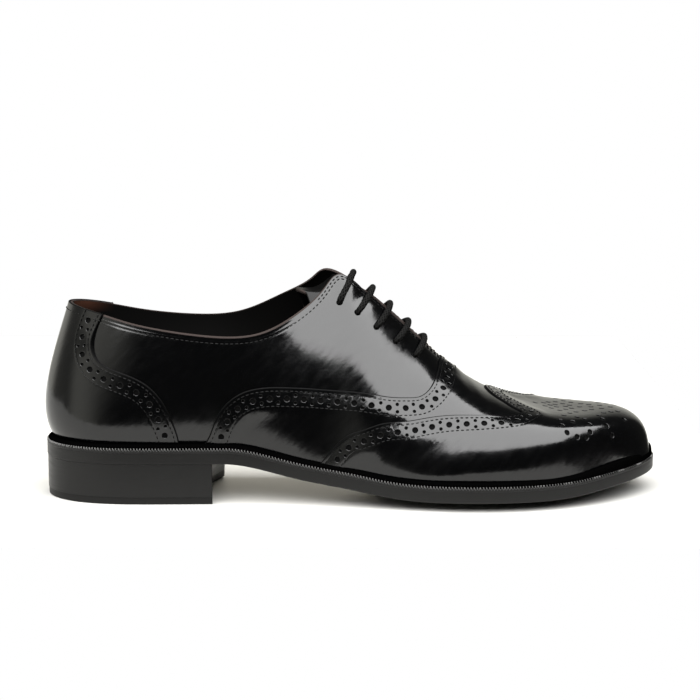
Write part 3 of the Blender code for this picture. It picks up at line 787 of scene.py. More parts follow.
def stitches(name, chart, lines, lift, sizes, material):
    """Threads along chart lines: each is a thin round bar whose two ends dip into the leather."""
    along = np.linspace(-1, 1, 7)
    turns = np.linspace(0, 2 * np.pi, 6, endpoint=False)
    thick = sizes.thread / MM / 2
    half = sizes.stitch_length / MM / 2
    taper, proud, dive = 0.8, 0.6, 1.9
    girth = thick * np.sqrt(1 - taper * along**2)
    rise = proud * thick - dive * thick * along**4
    points, normals = [], []
    for line in lines:
        length = true_length(chart, line)
        count = int(length / (sizes.stitch_pitch / MM))
        at = (np.arange(count) + 0.5) * length / count
        middle, side = read_line(chart, line, at)
        up = face_normal(*chart.find(middle))
        ahead = np.cross(side, up)
        base = chart.point(middle, lift(middle))
        round_way = fan_out(turns, up, side)[:, None]
        up, ahead, base = (part[:, None, None] for part in (up, ahead, base))
        body = (base + half * along[None, :, None, None] * ahead + rise[None, :, None, None] * up
                + girth[None, :, None, None] * round_way)
        points.append(body.reshape(-1, 3))
        normals.append(np.broadcast_to(round_way, body.shape).reshape(-1, 3))
    points = np.vstack(points)
    each = len(along) * len(turns)
    first = np.arange(0, len(points), each)
    bars = (first[:, None, None] + grid_faces(len(along), len(turns), closed=True)).reshape(-1, 4)
    ends = np.vstack([first[:, None] + np.arange(len(turns)),
                      first[:, None] + each - len(turns) + np.arange(len(turns))])
    return put_mesh(name, points, [bars, ends], [material], np.vstack(normals))


def make_quarters(sizes, paints):
    """Back part of the upper in one piece: topline with a rolled edge, facings with eyelets.

    The face is the bare wall between the welt and the topline. It runs on a little under the vamp.
    """
    facing_count, collar_count, foot_count = 90, 560, 220
    u = np.concatenate([np.linspace(THROAT, CORNER, facing_count),
                        np.linspace(CORNER, -CORNER, collar_count)[1:-1],
                        np.linspace(-CORNER, -THROAT, facing_count)])
    topline = BACK.lay(u, np.ones_like(u))
    under, spacing = 7.0, 1.6
    lowest, highest, furthest = 0.01, 0.96, THROAT + 0.6
    hidden = []
    for side in (-1, 1):
        edge = edge_line(BACK, VAMP_EDGE, side, spacing)
        line = inset(BACK, edge, -under * side)
        section, share = BACK.find(line)
        hidden.append(line[(share > lowest) & (share < highest) & (np.abs(section) < furthest)])
    lateral, medial = hidden[0][::-1], hidden[1]
    foot = foot_run(BACK, BACK.find(lateral[-1])[0], BACK.find(medial[0])[0], foot_count)
    rows = [sizes.collar_groove / MM, sizes.collar_row / MM]
    lines = [along_wall(BACK, row_inside(BACK, topline, row)) for row in rows]
    eyelets = BACK.lay(*eyelet_places().reshape(-1, 2).T)
    plain = panel_lift(BACK, [topline], rows, at_edge=0.0, at_rest=0.0)

    def lift(places):
        return plain(places) + dips(BACK.bare(places))

    borders = [(topline, True), (lateral, False), (foot, False), (medial, False)]
    piece = leather_panel("quarters", BACK, borders, [(eyelets, sizes.eyelet / MM / 2, EYELET_DEPTH)],
                          groove_points(BACK, lines), lift,
                          [paints["leather"], paints["hole"], paints["raw_edge"]], roll=0.9, sink=-1.3)
    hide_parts("upper")
    facing_start, collar_start = CORNER - 1.2, 2.1
    halves = []
    for line, start in zip(lines, (facing_start, collar_start)):
        sewn = line[np.abs(BACK.find(line)[0]) > start]
        halves += [sewn[sewn[:, 0] * side > 0] for side in (1, -1)]
    stitches("quarter_stitches", BACK, halves, lift, sizes, paints["thread"])


def make_vamp(sizes, paints):
    """Front part of the upper over the quarters, with a punched band along its edge.

    The height over the wall falls from the edge inwards as a bell curve of the distance. Soft
    creases cross it where the shoe bends.
    """
    edge = both_sides(FRONT, VAMP_EDGE)
    width = sizes.vamp_band / MM
    rows = [sizes.edge_row / MM, width]
    plain = panel_lift(FRONT, [edge], rows, at_edge=0.9, at_rest=0.5, pad=0.7)

    def lift(places):
        return plain(places) + creases(*FRONT.find(places)) + dips(FRONT.bare(places))

    under, lowest, spacing = 6.0, 0.01, 1.6
    front = row_inside(FRONT, both_sides(FRONT, WING_SIDE, WING_TOP), under)[::-1]
    front = front[FRONT.find(front)[1] > lowest]
    first, last = FRONT.find(front[[0, -1]])[0]
    borders = [(edge, True), (foot_run(FRONT, -VAMP_EDGE[0][0], first), False),
               (evenly(front, spacing), False), (foot_run(FRONT, last, VAMP_EDGE[0][0]), False)]
    lines = [along_wall(FRONT, row_inside(FRONT, edge, row)) for row in rows]
    outline = np.vstack([line for line, _ in borders])
    holes = kept_apart(FRONT, brogue_holes(FRONT, sizes, edge, width), outline)
    piece = leather_panel("vamp", FRONT, borders, holes, groove_points(FRONT, lines), lift,
                          leather_set(paints), sink=-1.0)
    stitches("vamp_stitches", FRONT, lines, lift, sizes, paints["thread"])


def dips(points):
    """Heights of the soft dips at points of the face: a bell curve of the distance to each dip's line."""
    height = 0
    for places, depth, reach in DIPS:
        section, share = np.array(places).T
        for side in (-1, 1):
            distance = distance_to(upper_at(side * section, share), points.reshape(-1, 3))
            height = height - depth * np.exp(-((distance / reach) ** 2))
    return height.reshape(points.shape[:-1])


def creases(u, v):
    """Heights of the soft creases across the vamp: troughs along set sections, deepest by the ridge."""
    slant, fade_start, fade_reach = 0.25, 0.45, 0.3
    troughs = (
        # section number, depth in millimetres, width in section numbers
        (10.55, 0.16, 0.16), (10.95, 0.12, 0.18))
    fade = np.clip((v - fade_start) / fade_reach, 0, 1)
    depth = 0
    for section, deep, wide in troughs:
        wander = section + slant * (1 - v)
        depth = depth + deep * np.exp(-(((np.abs(u) - wander) / wide) ** 2)) * fade
    return -depth


def make_wing_cap(sizes, paints):
    """Toe cap with wings over the vamp: punched band along the edge and a medallion on the toe."""
    edge = both_sides(FRONT, WING_SIDE, WING_TOP)
    width = sizes.wing_band / MM
    rows = [sizes.edge_row / MM, width]
    lift = panel_lift(FRONT, [edge], rows, at_edge=1.3, at_rest=1.0, pad=0.45)
    first, last = WING_SIDE[0][0], TOE - 0.01
    foot_count, end_count = 220, 61
    toe, foot = FRONT.lay(np.array([TOE]), np.array([0.0]))[0]
    across = np.linspace(-foot, foot, end_count)
    end = np.stack([np.full_like(across, toe), across], axis=1)
    borders = [(edge, True), (foot_run(FRONT, -first, -last, foot_count), False), (end, False),
               (foot_run(FRONT, last, first, foot_count), False)]
    lines = [along_wall(FRONT, row_inside(FRONT, edge, row)) for row in rows]
    outline = np.vstack([line for line, _ in borders])
    holes = brogue_holes(FRONT, sizes, edge, width)
    radius = sizes.medallion_hole / MM / 2
    section, share = np.array(MEDALLION + ROSETTE).T
    spots = [FRONT.lay(side * section, share) for side in (1, -1)]
    ridge = np.array(MEDALLION_RIDGE)
    spots.append(FRONT.lay(ridge, np.ones_like(ridge)))
    middles = FRONT.lay(ROSETTE_MIDDLE[0] * np.array([1, -1]), np.full(2, ROSETTE_MIDDLE[1]))
    middle_share = 1.3
    holes.append((middles, middle_share * radius, HOLE_DEPTH))
    holes.append((np.vstack(spots), radius, HOLE_DEPTH))
    holes = kept_apart(FRONT, holes, outline)
    piece = leather_panel("wing_cap", FRONT, borders, holes, groove_points(FRONT, lines), lift,
                          leather_set(paints), sink=0.1)
    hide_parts("toe_cap")
    stitches("wing_stitches", FRONT, lines, lift, sizes, paints["thread"])


def make_counter(sizes, paints):
    """Piece round the heel over the quarters, with a punched band along its two edges."""
    section = np.array(COUNTER_EDGE)[:, 0]
    lateral = edge_line(BACK, COUNTER_EDGE, -1)[::-1]
    medial = edge_line(BACK, COUNTER_EDGE, 1)
    width = sizes.counter_band / MM
    rows = [sizes.edge_row / MM, width]
    edges = [lateral, medial]
    plain = panel_lift(BACK, edges, rows, at_edge=1.0, at_rest=0.8)

    def lift(places):
        return plain(places) + gape(*BACK.find(places))

    top_count, spacing = 100, 0.8
    top_u = np.linspace(section[-1], -section[-1], top_count)
    top = evenly(BACK.lay(top_u, np.ones_like(top_u)), spacing)
    borders = [(top, True), (lateral, True), (foot_run(BACK, -section[0], section[0]), False),
               (medial, True)]
    lines = [along_wall(BACK, row_inside(BACK, edge, row)) for edge in edges for row in rows]
    outline = np.vstack([line for line, _ in borders])
    holes = [group for edge in edges for group in brogue_holes(BACK, sizes, edge, width)]
    holes = kept_apart(BACK, holes, outline)
    collar = along_wall(BACK, row_inside(BACK, top, sizes.collar_row / MM))
    piece = leather_panel("counter", BACK, borders, holes, groove_points(BACK, lines), lift,
                          leather_set(paints))
    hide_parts("heel_counter")
    stitches("counter_stitches", BACK, lines + [collar], lift, sizes, paints["thread"])


def gape(u, v):
    """Height by which the counter stands off the quarters near the upper bend of its edge."""
    height = 1.2
    section, along_reach = 1.7, 0.3
    share, up_reach = 0.78, 0.1
    return height * np.exp(-(((np.abs(u) - section) / along_reach) ** 2) - ((v - share) / up_reach) ** 2)


def eyelet_places():
    """Section number and share of height of each eyelet: side by crossing by 2."""
    return np.array([[bar_route(side, *bar)[-1] for bar in LACE_BARS] for side in (-1, 1)])


def bar_route(side, crossing, lean):
    """Path over the face from the facing's edge to an eyelet, square to that edge but leaning back."""
    tries = np.linspace(CORNER, THROAT, 81)
    edge_x = upper_at(side * tries, np.ones_like(tries))[:, 0]
    u, v = side * np.interp(crossing, edge_x, tries), 1.0
    nudge = 1e-3
    route = [(u, v)]
    square = None
    for _ in range(BAR_STEPS):
        around = upper_at(np.array([u - nudge, u + nudge, u, u]), np.array([v, v, v - nudge, v + nudge]))
        slopes = np.stack([around[1] - around[0], around[3] - around[2]], axis=1) / (2 * nudge)
        normal = np.cross(slopes[:, 1], slopes[:, 0])
        if square is None:
            square = unit(slopes[:, 0])
        down = unit(np.cross(square, normal))
        down = unit(down * np.sign(-down[2]) - lean * np.sign(square[0]) * square) * HOLE_INSET / BAR_STEPS
        move = np.linalg.lstsq(slopes, down, rcond=None)[0]
        u, v = u + move[0], v + move[1]
        route.append((u, v))
    return np.array(route)


def make_lining(paints):
    """Inner face of the upper: the wall moved inwards, with a raw edge along the topline."""
    rim = np.array((
        # share of the wall's height, height over the outer face
        (0.975, -WALL), (0.985, -WALL), (0.992, -WALL + 0.02), (0.997, -WALL + 0.15),
        (1.0, -WALL + 0.4), (1.0, -1.15)))
    u = np.linspace(-TOE, TOE, 481)
    below = np.linspace(0.01, 0.96, 34)
    v = np.concatenate([below, rim[:, 0]])
    sunk = np.concatenate([np.full_like(below, -WALL), rim[:, 1]])
    grid_u, grid_v = np.meshgrid(u, v, indexing="ij")
    points = raised(grid_u, grid_v, np.broadcast_to(sunk, grid_u.shape)).reshape(-1, 3)
    quads = grid_faces(len(u), len(v))
    raw = (quads % len(v)).max(axis=1) >= len(v) - 2
    normals = -face_normal(grid_u, grid_v).reshape(-1, 3)
    piece = put_mesh("lining", points, [quads], [paints["lining"], paints["raw_edge"]], normals,
                     [np.where(raw, 1, 0)])


def make_tongue(paints):
    """Strip under the facings along the upper's inner face; its free end bends back over the collar."""
    u = np.linspace(THROAT + TONGUE_TUCK, CORNER, 60)
    v = 1 - TONGUE_SHARE * np.linspace(1.0, 0.06, 22)
    under = -(WALL + CURVED_GAP)
    lateral = raised(-u[:, None], v[None, :], np.full((len(u), len(v)), under))
    medial = raised(u[:, None], v[None, ::-1], np.full((len(u), len(v)), under))
    rows = np.concatenate([lateral, medial], axis=1)
    last = rows[-1]
    middle = last[:, 1].mean()
    knots = np.vstack([(0.0, 0.0, 1.0), TONGUE_END])
    free = []
    steps = np.linspace(0, len(knots) - 1, 19)[1:]
    for back, drop, width in natural_spline(np.arange(len(knots)), knots, steps):
        row = last + np.array([back, 0, drop])
        row[:, 1] = middle + (row[:, 1] - middle) * width
        free.append(row)
    points = np.concatenate([rows, free])
    faces = grid_faces(points.shape[0], points.shape[1])
    corner = points.reshape(-1, 3)[faces]
    facing = np.cross(corner[:, 1] - corner[:, 0], corner[:, 2] - corner[:, 0])
    if facing[:, 2].mean() < 0:
        faces = faces[:, ::-1]
    piece = put_mesh("tongue", points.reshape(-1, 3), [faces], [paints["tongue"], paints["raw_edge"]])
    wall = piece.modifiers.new("Thickness", "SOLIDIFY")
    wall.thickness = TONGUE_THICK * MM
    wall.offset = -1
    wall.material_offset_rim = 1
    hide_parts("tongue")


def lace_path(crossing, lean):
    """Middle line of one lace bar, from inside one eyelet over the facings and into the other."""
    over = LACE_SHOW_RADIUS + 0.1
    near_share, into_eyelet, spacing = 0.95, (0.5, -1.6, -5.5), 0.2
    lifts = np.array([over] * (BAR_STEPS - 1) + [over * near_share, *into_eyelet])
    halves = []
    for side in (-1, 1):
        route = bar_route(side, crossing, lean)
        u, v = np.vstack([route, *[route[-1:]] * (len(into_eyelet) - 1)]).T
        halves.append(raised(u, v, lifts))
    return smooth_line(np.vstack([halves[0][::-1], halves[1]]), spacing)


def make_lace(sizes, paints):
    """Five bars of woven lace: round tubes whose radius swells where two sets of strands cross."""
    sides = 36
    turns = np.linspace(0, 2 * np.pi, sides, endpoint=False)
    strands, pitch, swell = 5, sizes.lace_weave / MM, 0.2
    shade_below = 0.3
    end_girth, girth_gain, gain_start, gain_reach = 0.8, 0.2, 4.5, 5.0
    points, faces, kinds = [], [], []
    count = 0
    for bar in LACE_BARS:
        path = lace_path(*bar)
        ahead = unit(np.gradient(path, axis=0))
        side = unit(np.cross(ahead, np.array([1.0, 0.0, 0.0])))
        up = np.cross(side, ahead)
        along = arc_length(path)
        phase = 2 * np.pi * along[:, None] / pitch
        weave = np.maximum(np.cos(strands * turns + phase), np.cos(strands * turns - phase))
        to_end = np.minimum(along, along[-1] - along)[:, None]
        narrow = end_girth + girth_gain * np.clip((to_end - gain_start) / gain_reach, 0, 1)
        girth = LACE_SHOW_RADIUS * narrow * (1 - swell + swell * weave)
        body = path[:, None] + girth[..., None] * fan_out(turns, side, up)
        points.append(body.reshape(-1, 3))
        skin = grid_faces(len(path), sides, closed=True)
        ends = np.array([np.arange(sides), np.arange(sides) + (len(path) - 1) * sides])
        faces += [count + skin, count + ends]
        # Faces where the weave sinks between the strands are painted darker: painted shade.
        kinds += [np.where(weave.ravel()[skin].mean(axis=1) < shade_below, 1, 0), np.zeros(len(ends), int)]
        count += body.shape[0] * body.shape[1]
    piece = put_mesh("lace", np.vstack(points), faces, [paints["lace"], paints["lace_gap"]], kinds=kinds)
    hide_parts(*["lace_bar_%d" % (k + 1) for k in range(len(LACE_BARS))])


def sole_ring(distance, count=960):
    """The sole's edge moved inwards, read at a number of even steps round the shoe."""
    closed = np.vstack([EDGE, EDGE[:1]])
    along = arc_length(closed)
    at = np.arange(count) * along[-1] / count
    away = unit(read_at(np.vstack([OUTWARD, OUTWARD[:1]]), along, at))
    return read_at(closed, along, at) - distance * away, away


def heel_ring(distance, back_count=320, front_count=40):
    """Outline of the heel moved inwards: round the back, then across the hollow breast."""
    edge = EDGE - distance * OUTWARD
    lateral = edge[:TIP + 1]
    lateral = lateral[:np.argmax(lateral[:, 0] > BREAST_LATERAL_X - distance)]
    medial = np.vstack([edge[TIP:], edge[:1]])[::-1]
    medial = medial[:np.argmax(medial[:, 0] > BREAST_MEDIAL_X - distance)]
    line = np.vstack([medial[:0:-1], lateral])
    along = arc_length(line)
    back = read_at(line, along, np.linspace(0, along[-1], back_count))
    share = np.linspace(0, 1, front_count + 2)[1:-1]
    front = back[-1] + (back[0] - back[-1]) * share[:, None]
    front[:, 0] -= BREAST_HOLLOW * 4 * share * (1 - share)
    ring = np.vstack([back, front])
    ahead = unit(np.roll(ring, -1, axis=0) - np.roll(ring, 1, axis=0))
    return ring, np.stack([ahead[:, 1], -ahead[:, 0]], axis=1)


def slab(name, ring, lower, upper, soft, material, spacing=5.0):
    """A layer with rounded edges: lower and upper face, and a wall of rings between them.

    ring gives the outline at a distance in from the edge and its outward directions. lower and upper
    give the heights of the two faces. Their edges turn in quarter rounds of the two soft radii.
    """
    points, normals, faces, levels = [], [], [], []
    count = 0
    nudge = 0.5
    for height, way, round_off in ((lower, -1.0, soft[0]), (upper, 1.0, soft[1])):
        places, triangles = triangulate(ring(round_off)[0], [], np.empty((0, 2)), spacing)
        x, y = places.T
        slope_x = (height(x + nudge, y) - height(x - nudge, y)) / (2 * nudge)
        slope_y = (height(x, y + nudge) - height(x, y - nudge)) / (2 * nudge)
        points.append(np.column_stack([places, height(x, y)]))
        normals.append(way * np.column_stack([-slope_x, -slope_y, np.ones_like(x)]))
        faces.append(count + triangles)
        count += len(places)
        levels += [(angle, height, way, round_off) for angle in np.radians((0, 30, 60, 90))[::-int(way)]]
    for angle, height, way, round_off in levels:
        plan, away = ring(round_off * (1 - np.sin(angle)))
        level = height(*plan.T) - way * round_off * (1 - np.cos(angle))
        points.append(np.column_stack([plan, level]))
        normals.append(np.column_stack([np.sin(angle) * away, np.full(len(plan), way * np.cos(angle))]))
    faces.append(count + grid_faces(len(levels), len(plan), closed=True))
    return put_mesh(name, np.vstack(points), faces, [material], np.vstack(normals))


def welt_under(x, y):
    """Underside of the welt, just over the outsole."""
    return sole_height(x, y) + OUTSOLE_THICK + CURVED_GAP


def make_welt(sizes, paints):
    """Ring round the shoe: a toothed ledge on the sole's edge and a black rand between it and the upper.

    The profile goes up the outer wall, over the ledge, round the rand and down beside the upper. Each
    wheel mark is a groove in the ledge whose depth follows a steep raised cosine along the edge. At the
    toe the ledge lies lower and the rand stands higher. The grooves get the rand's black as painted
    shade and the crests between them a light grey as a painted highlight.
    """
    around = arc_length(np.vstack([EDGE, EDGE[:1]]))[-1]
    samples, steep = 8, 1.4
    count = samples * int(round(around / (sizes.tooth_pitch / MM)))
    mark = np.clip(steep * np.cos(2 * np.pi * np.arange(count) / samples), -1, 1) * 0.5 + 0.5
    deep = sizes.tooth_depth / MM
    toe_start, toe_reach = 100, 45
    profile = (
        # inset, share of the height and its change at the toe, mark's depth downwards and inwards
        (5.5, 0.0, 0.0, 0.0, 0.0), (0.0, 0.0, 0.0, 0.0, 0.0), (0.0, 0.46, -0.3, 0.0, 0.0),
        (0.05, 0.64, -0.3, 0.7, 0.5), (0.25, 0.74, -0.3, 1.0, 0.6), (0.7, 0.74, -0.3, 0.8, 0.2),
        (0.85, 0.79, -0.25, 0.2, 0.0), (0.78, 0.88, 0.0, 0.0, 0.0), (0.95, 1.0, 0.3, 0.0, 0.0),
        (1.35, 1.1, 0.55, 0.0, 0.0), (1.9, 1.16, 0.65, 0.0, 0.0), (2.6, 1.18, 0.65, 0.0, 0.0),
        (3.3, 1.2, 0.65, 0.0, 0.0), (4.2, 1.22, 0.65, 0.0, 0.0), (WELT_WIDTH, 1.0, 0.3, 0.0, 0.0))
    wall_rows, ledge_rows = 2, 5
    points = []
    for inward, share, toe_change, down, back in profile:
        plan, away = sole_ring(inward, count)
        plan = plan - (deep * back * mark)[:, None] * away
        x, y = plan.T
        low, high = welt_under(x, y), seat_height(x)
        height = share + toe_change * np.clip((x - toe_start) / toe_reach, 0, 1)
        points.append(np.column_stack([plan, low + (high - low) * height - deep * down * mark]))
    faces = grid_faces(len(profile), count, closed=True)
    row = faces.min(axis=1) // count
    # Faces in a wheel mark get the rand's black as painted shade; the ledge's crests between them get a light
    # grey as a painted highlight.
    groove_shaded = mark[faces[:, 0] % count] > 0.5
    kinds = np.where(row < wall_rows, 0, np.where((row < ledge_rows) & ~groove_shaded, 2, 1))
    piece = put_mesh("welt", np.vstack(points), [faces[:, ::-1]],
                     [paints["sole"], paints["welt"], paints["ledge"]], kinds=[kinds])
    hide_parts("welt")


def make_sole(paints):
    """Outsole, the two layers of the heel and the insole, each a slab with rounded edges."""
    seam, overlap = 0.02, 0.04
    sharp, worn, soft_rubber, board = 0.06, 0.7, 0.5, 0.4
    piece = slab("outsole", sole_ring, sole_height, lambda x, y: welt_under(x, y) - seam, (worn, sharp),
                 paints["sole"])
    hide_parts("outsole")

    def level(height):
        return lambda x, y: np.full_like(x, height)

    layers = (
        # name, bottom, top, radii of the lower and upper edge, finish, material
        ("heel_block", TOP_PIECE_THICK, HEEL_LIFT + overlap, (sharp, sharp), "heel_stack", "sole"),
        ("heel_top_piece", 0.0, TOP_PIECE_THICK - seam, (soft_rubber, sharp), "heel_rubber", "rubber"))
    for name, bottom, top, soft, finish, paint in layers:
        narrow = HEEL_SHOW_INSET + HEEL_TAPER * (1 - (bottom + top) / 2 / HEEL_LIFT)
        piece = slab(name, lambda distance: heel_ring(narrow + distance), level(bottom), level(top), soft,
                     paints[paint])
        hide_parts(name)

    piece = slab("insole", lambda distance: sole_ring(WELT_WIDTH + GAP + distance, 480), welt_under,
                 lambda x, y: seat_height(x) + INSOLE_STEP, (board, board), paints["insole"])
    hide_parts("insole")


def nodes_of(tree):
    """Short way to add a node with its settings, its constant inputs and its linked inputs."""
    def add(kind, links=None, **settings):
        node = tree.nodes.new(kind)
        for key, value in settings.items():
            setattr(node, key, value)
        for socket, value in (links or {}).items():
            if isinstance(value, bpy.types.NodeSocket):
                tree.links.new(value, node.inputs[socket])
            else:
                node.inputs[socket].default_value = value
        return node
    return add


def grain_group():
    """Bump of polished leather: fine grain, slanting streaks and slow unevenness, as a normal."""
    tree = bpy.data.node_groups.new("Leather grain", "ShaderNodeTree")
    for name, default in (("Grain", 0.5), ("Streaks", 0.5), ("Waves", 0.5)):
        socket = tree.interface.new_socket(name, in_out="INPUT", socket_type="NodeSocketFloat")
        socket.default_value = default
    tree.interface.new_socket("Normal", in_out="OUTPUT", socket_type="NodeSocketVector")
    tree.interface.new_socket("Dullness", in_out="OUTPUT", socket_type="NodeSocketFloat")
    add = nodes_of(tree)
    given = tree.nodes.new("NodeGroupInput")
    result = tree.nodes.new("NodeGroupOutput")
    place = add("ShaderNodeTexCoord").outputs["Object"]
    slanted = {"Vector": place, "Rotation": (0.0, 0.85, 0.0), "Scale": (1.0, 1.0, 3.5)}
    long_way = add("ShaderNodeMapping", slanted, vector_type="TEXTURE").outputs[0]
    grain = add("ShaderNodeTexNoise", {"Vector": place, "Scale": 1500.0, "Detail": 3.0})
    streak = add("ShaderNodeTexNoise", {"Vector": long_way, "Scale": 380.0, "Detail": 3.0})
    wave = add("ShaderNodeTexNoise", {"Vector": place, "Scale": 45.0, "Detail": 1.0})
    normal = None
    layers = ((wave, "Waves", 4e-4), (streak, "Streaks", 6e-5), (grain, "Grain", 2e-5))
    for texture, strength, distance in layers:
        links = {"Height": texture.outputs["Fac"], "Strength": given.outputs[strength], "Distance": distance}
        if normal is not None:
            links["Normal"] = normal
        normal = add("ShaderNodeBump", links).outputs[0]
    tree.links.new(normal, result.inputs["Normal"])
    tree.links.new(streak.outputs["Fac"], result.inputs["Dullness"])
    return tree


def edge_group():
    """Fine level streaks of a dressed sole edge: a normal and a mask for its colour."""
    tree = bpy.data.node_groups.new("Dressed edge", "ShaderNodeTree")
    tree.interface.new_socket("Normal", in_out="OUTPUT", socket_type="NodeSocketVector")
    tree.interface.new_socket("Mask", in_out="OUTPUT", socket_type="NodeSocketFloat")
    add = nodes_of(tree)
    result = tree.nodes.new("NodeGroupOutput")
    place = add("ShaderNodeTexCoord").outputs["Object"]
    flat = add("ShaderNodeMapping", {"Vector": place, "Scale": (0.06, 0.06, 1.0)}).outputs[0]
    lines = add("ShaderNodeTexNoise", {"Vector": flat, "Scale": 1400.0, "Detail": 4.0})
    bump = add("ShaderNodeBump", {"Height": lines.outputs["Fac"], "Strength": 0.6, "Distance": 6e-5})
    tree.links.new(bump.outputs[0], result.inputs["Normal"])
    tree.links.new(lines.outputs["Fac"], result.inputs["Mask"])
    return tree


def new_material(name, group, colour, roughness, specular, inputs, spread):
    """A Principled material whose normal comes from a group; the group's mask varies its roughness."""
    material = bpy.data.materials.new(name)
    material.use_nodes = True
    tree = material.node_tree
    surface = tree.nodes["Principled BSDF"]
    surface.inputs["Base Color"].default_value = (*colour, 1.0)
    surface.inputs["Roughness"].default_value = roughness
    surface.inputs["Specular IOR Level"].default_value = specular
    if group is None:
        return material
    add = nodes_of(tree)
    effect = add("ShaderNodeGroup", node_tree=group)
    for socket, value in inputs.items():
        effect.inputs[socket].default_value = value
    tree.links.new(effect.outputs["Normal"], surface.inputs["Normal"])
    if spread:
        mask_low, mask_high = 0.3, 0.7
        limits = {"Value": effect.outputs[1], "From Min": mask_low, "From Max": mask_high,
                  "To Min": roughness - spread, "To Max": roughness + spread}
        tree.links.new(add("ShaderNodeMapRange", limits).outputs[0], surface.inputs["Roughness"])
    return material


def make_paints(finish):
    """All materials by name."""
    grain, edge = grain_group(), edge_group()
    shine = {"Grain": 0.35, "Streaks": 0.8, "Waves": 0.35}
    dull = {"Grain": 1.0, "Streaks": 0.0, "Waves": 0.2}
    plain = {}
    table = (
        # key, name, group, colour, roughness, specular level, inputs of the group, spread of roughness
        ("leather", "Polished leather", grain, finish.leather, finish.leather_roughness, 0.5, shine, 0.04),
        ("cut_edge", "Cut edge", grain, (0.0006, 0.0006, 0.0006), 0.5, 0.06, dull, 0.0),
        ("hole", "Punched hole", None, (0.0004, 0.0004, 0.0004), 0.9, 0.1, plain, 0.0),
        ("thread", "Waxed thread", grain, (0.001, 0.001, 0.001), 0.42, 0.15, dull, 0.0),
        ("lining", "Lining", grain, (0.0012, 0.0011, 0.001), 0.6, 0.1, dull, 0.0),
        ("raw_edge", "Raw edge", grain, (0.026, 0.0195, 0.0175), 0.7, 0.1, dull, 0.0),
        ("tongue", "Tongue leather", grain, (0.001, 0.001, 0.001), 0.35, 0.2, dull, 0.0),
        ("lace", "Lace cotton", grain, (0.0042, 0.0041, 0.0039), 0.7, 0.08, dull, 0.0),
        # The darker lace colour between the strands is painted shade.
        ("lace_gap", "Lace between strands", grain, (0.0012, 0.0012, 0.0011), 0.8, 0.05, dull, 0.0),
        # The rand's black is also painted shade in the wheel marks; the ledge's light grey is a painted
        # highlight on the crests between them.
        ("welt", "Rand", edge, (0.0006, 0.0006, 0.0006), 0.6, 0.0, plain, 0.0),
        ("ledge", "Welt ledge", edge, (0.042, 0.041, 0.0395), 0.35, 0.4, plain, 0.0),
        ("sole", "Sole edge", edge, (0.0045, 0.0044, 0.0042), 0.4, 0.25, plain, 0.05),
        ("rubber", "Heel rubber", edge, (0.004, 0.0039, 0.0037), 0.5, 0.2, plain, 0.0),
        ("insole", "Insole leather", grain, (0.002, 0.0018, 0.0016), 0.55, 0.1, dull, 0.0))
    made = {key: new_material(*values) for key, *values in table}
    rust_heel(made["lining"])
    return made


def rust_heel(material):
    """Lets the lining turn rust brown at the top of the heel."""
    full_x, no_x = -0.132, -0.12
    no_z, full_z = 0.088, 0.094
    rust = (0.05, 0.02, 0.012, 1.0)
    add = nodes_of(material.node_tree)
    surface = material.node_tree.nodes["Principled BSDF"]
    place = add("ShaderNodeTexCoord").outputs["Object"]
    way = add("ShaderNodeSeparateXYZ", {"Vector": place}).outputs
    back = add("ShaderNodeMapRange", {"Value": way["X"], "From Min": full_x, "From Max": no_x, "To Min": 1.0,
                                      "To Max": 0.0}).outputs[0]
    high = add("ShaderNodeMapRange", {"Value": way["Z"], "From Min": no_z, "From Max": full_z}).outputs[0]
    mask = add("ShaderNodeMath", {0: back, 1: high}, operation="MULTIPLY").outputs[0]
    colour = add("ShaderNodeMix", {0: mask}, data_type="RGBA")
    colour.inputs[6].default_value = surface.inputs["Base Color"].default_value
    colour.inputs[7].default_value = rust
    material.node_tree.links.new(colour.outputs[2], surface.inputs["Base Color"])


def make_floor():
    """Pale table that ends a little in front of the shoe and beyond its toe."""
    front, back, left, right = -0.115, 0.5, -0.9, 0.2
    mesh = bpy.data.meshes.new("floor")
    corners = [(left, front, 0), (right, front, 0), (right, back, 0), (left, back, 0)]
    mesh.from_pydata(corners, [], [(0, 1, 2, 3)])
    colour, roughness, specular = (0.42, 0.417, 0.402), 0.7, 0.1
    mesh.materials.append(new_material("White table", None, colour, roughness, specular, {}, 0.0))
    floor = bpy.data.objects.new("floor", mesh)
    bpy.context.scene.collection.objects.link(floor)


def add_lamp(name, place, target, size, brightness, colour=(1.0, 1.0, 1.0), mirrored=True):
    """Rectangular area light that faces a target; its power follows from the brightness of its face.

    A lamp that is not mirrored only lights the table: neither polish nor camera shows it.
    """
    lamp = bpy.data.lights.new(name, "AREA")
    lamp.shape = "RECTANGLE"
    lamp.size, lamp.size_y = size
    lamp.color = colour
    lamp.energy = brightness * math.pi * size[0] * size[1]
    light = bpy.data.objects.new(name, lamp)
    light.location = place
    light.rotation_euler = (Vector(target) - Vector(place)).to_track_quat("-Z", "Y").to_euler()
    light.visible_camera = mirrored
    light.visible_glossy = mirrored
    bpy.context.scene.collection.objects.link(light)


def add_softbox(stage):
    """Large light above and in front of the shoe.

    aside is its angle towards the toe, over its angle from the back horizon over the top.
    """
    distance, size = 1.9, (4.07, 2.71)
    aside, over = math.radians(3), math.radians(116.5)
    way = Vector((math.sin(aside), math.cos(aside) * math.cos(over), math.cos(aside) * math.sin(over)))
    add_lamp("softbox", distance * way, (0, 0, 0), size, stage.key)


def add_arch_lamp(stage):
    """Small warm lamp behind the shoe that lights the table under the arch."""
    place, target = (-0.04, 0.26, 0.05), (-0.03, -0.03, 0.0)
    size, warm = (0.12, 0.03), (1.0, 0.95, 0.84)
    add_lamp("arch_lamp", place, target, size, stage.arch, warm, mirrored=False)


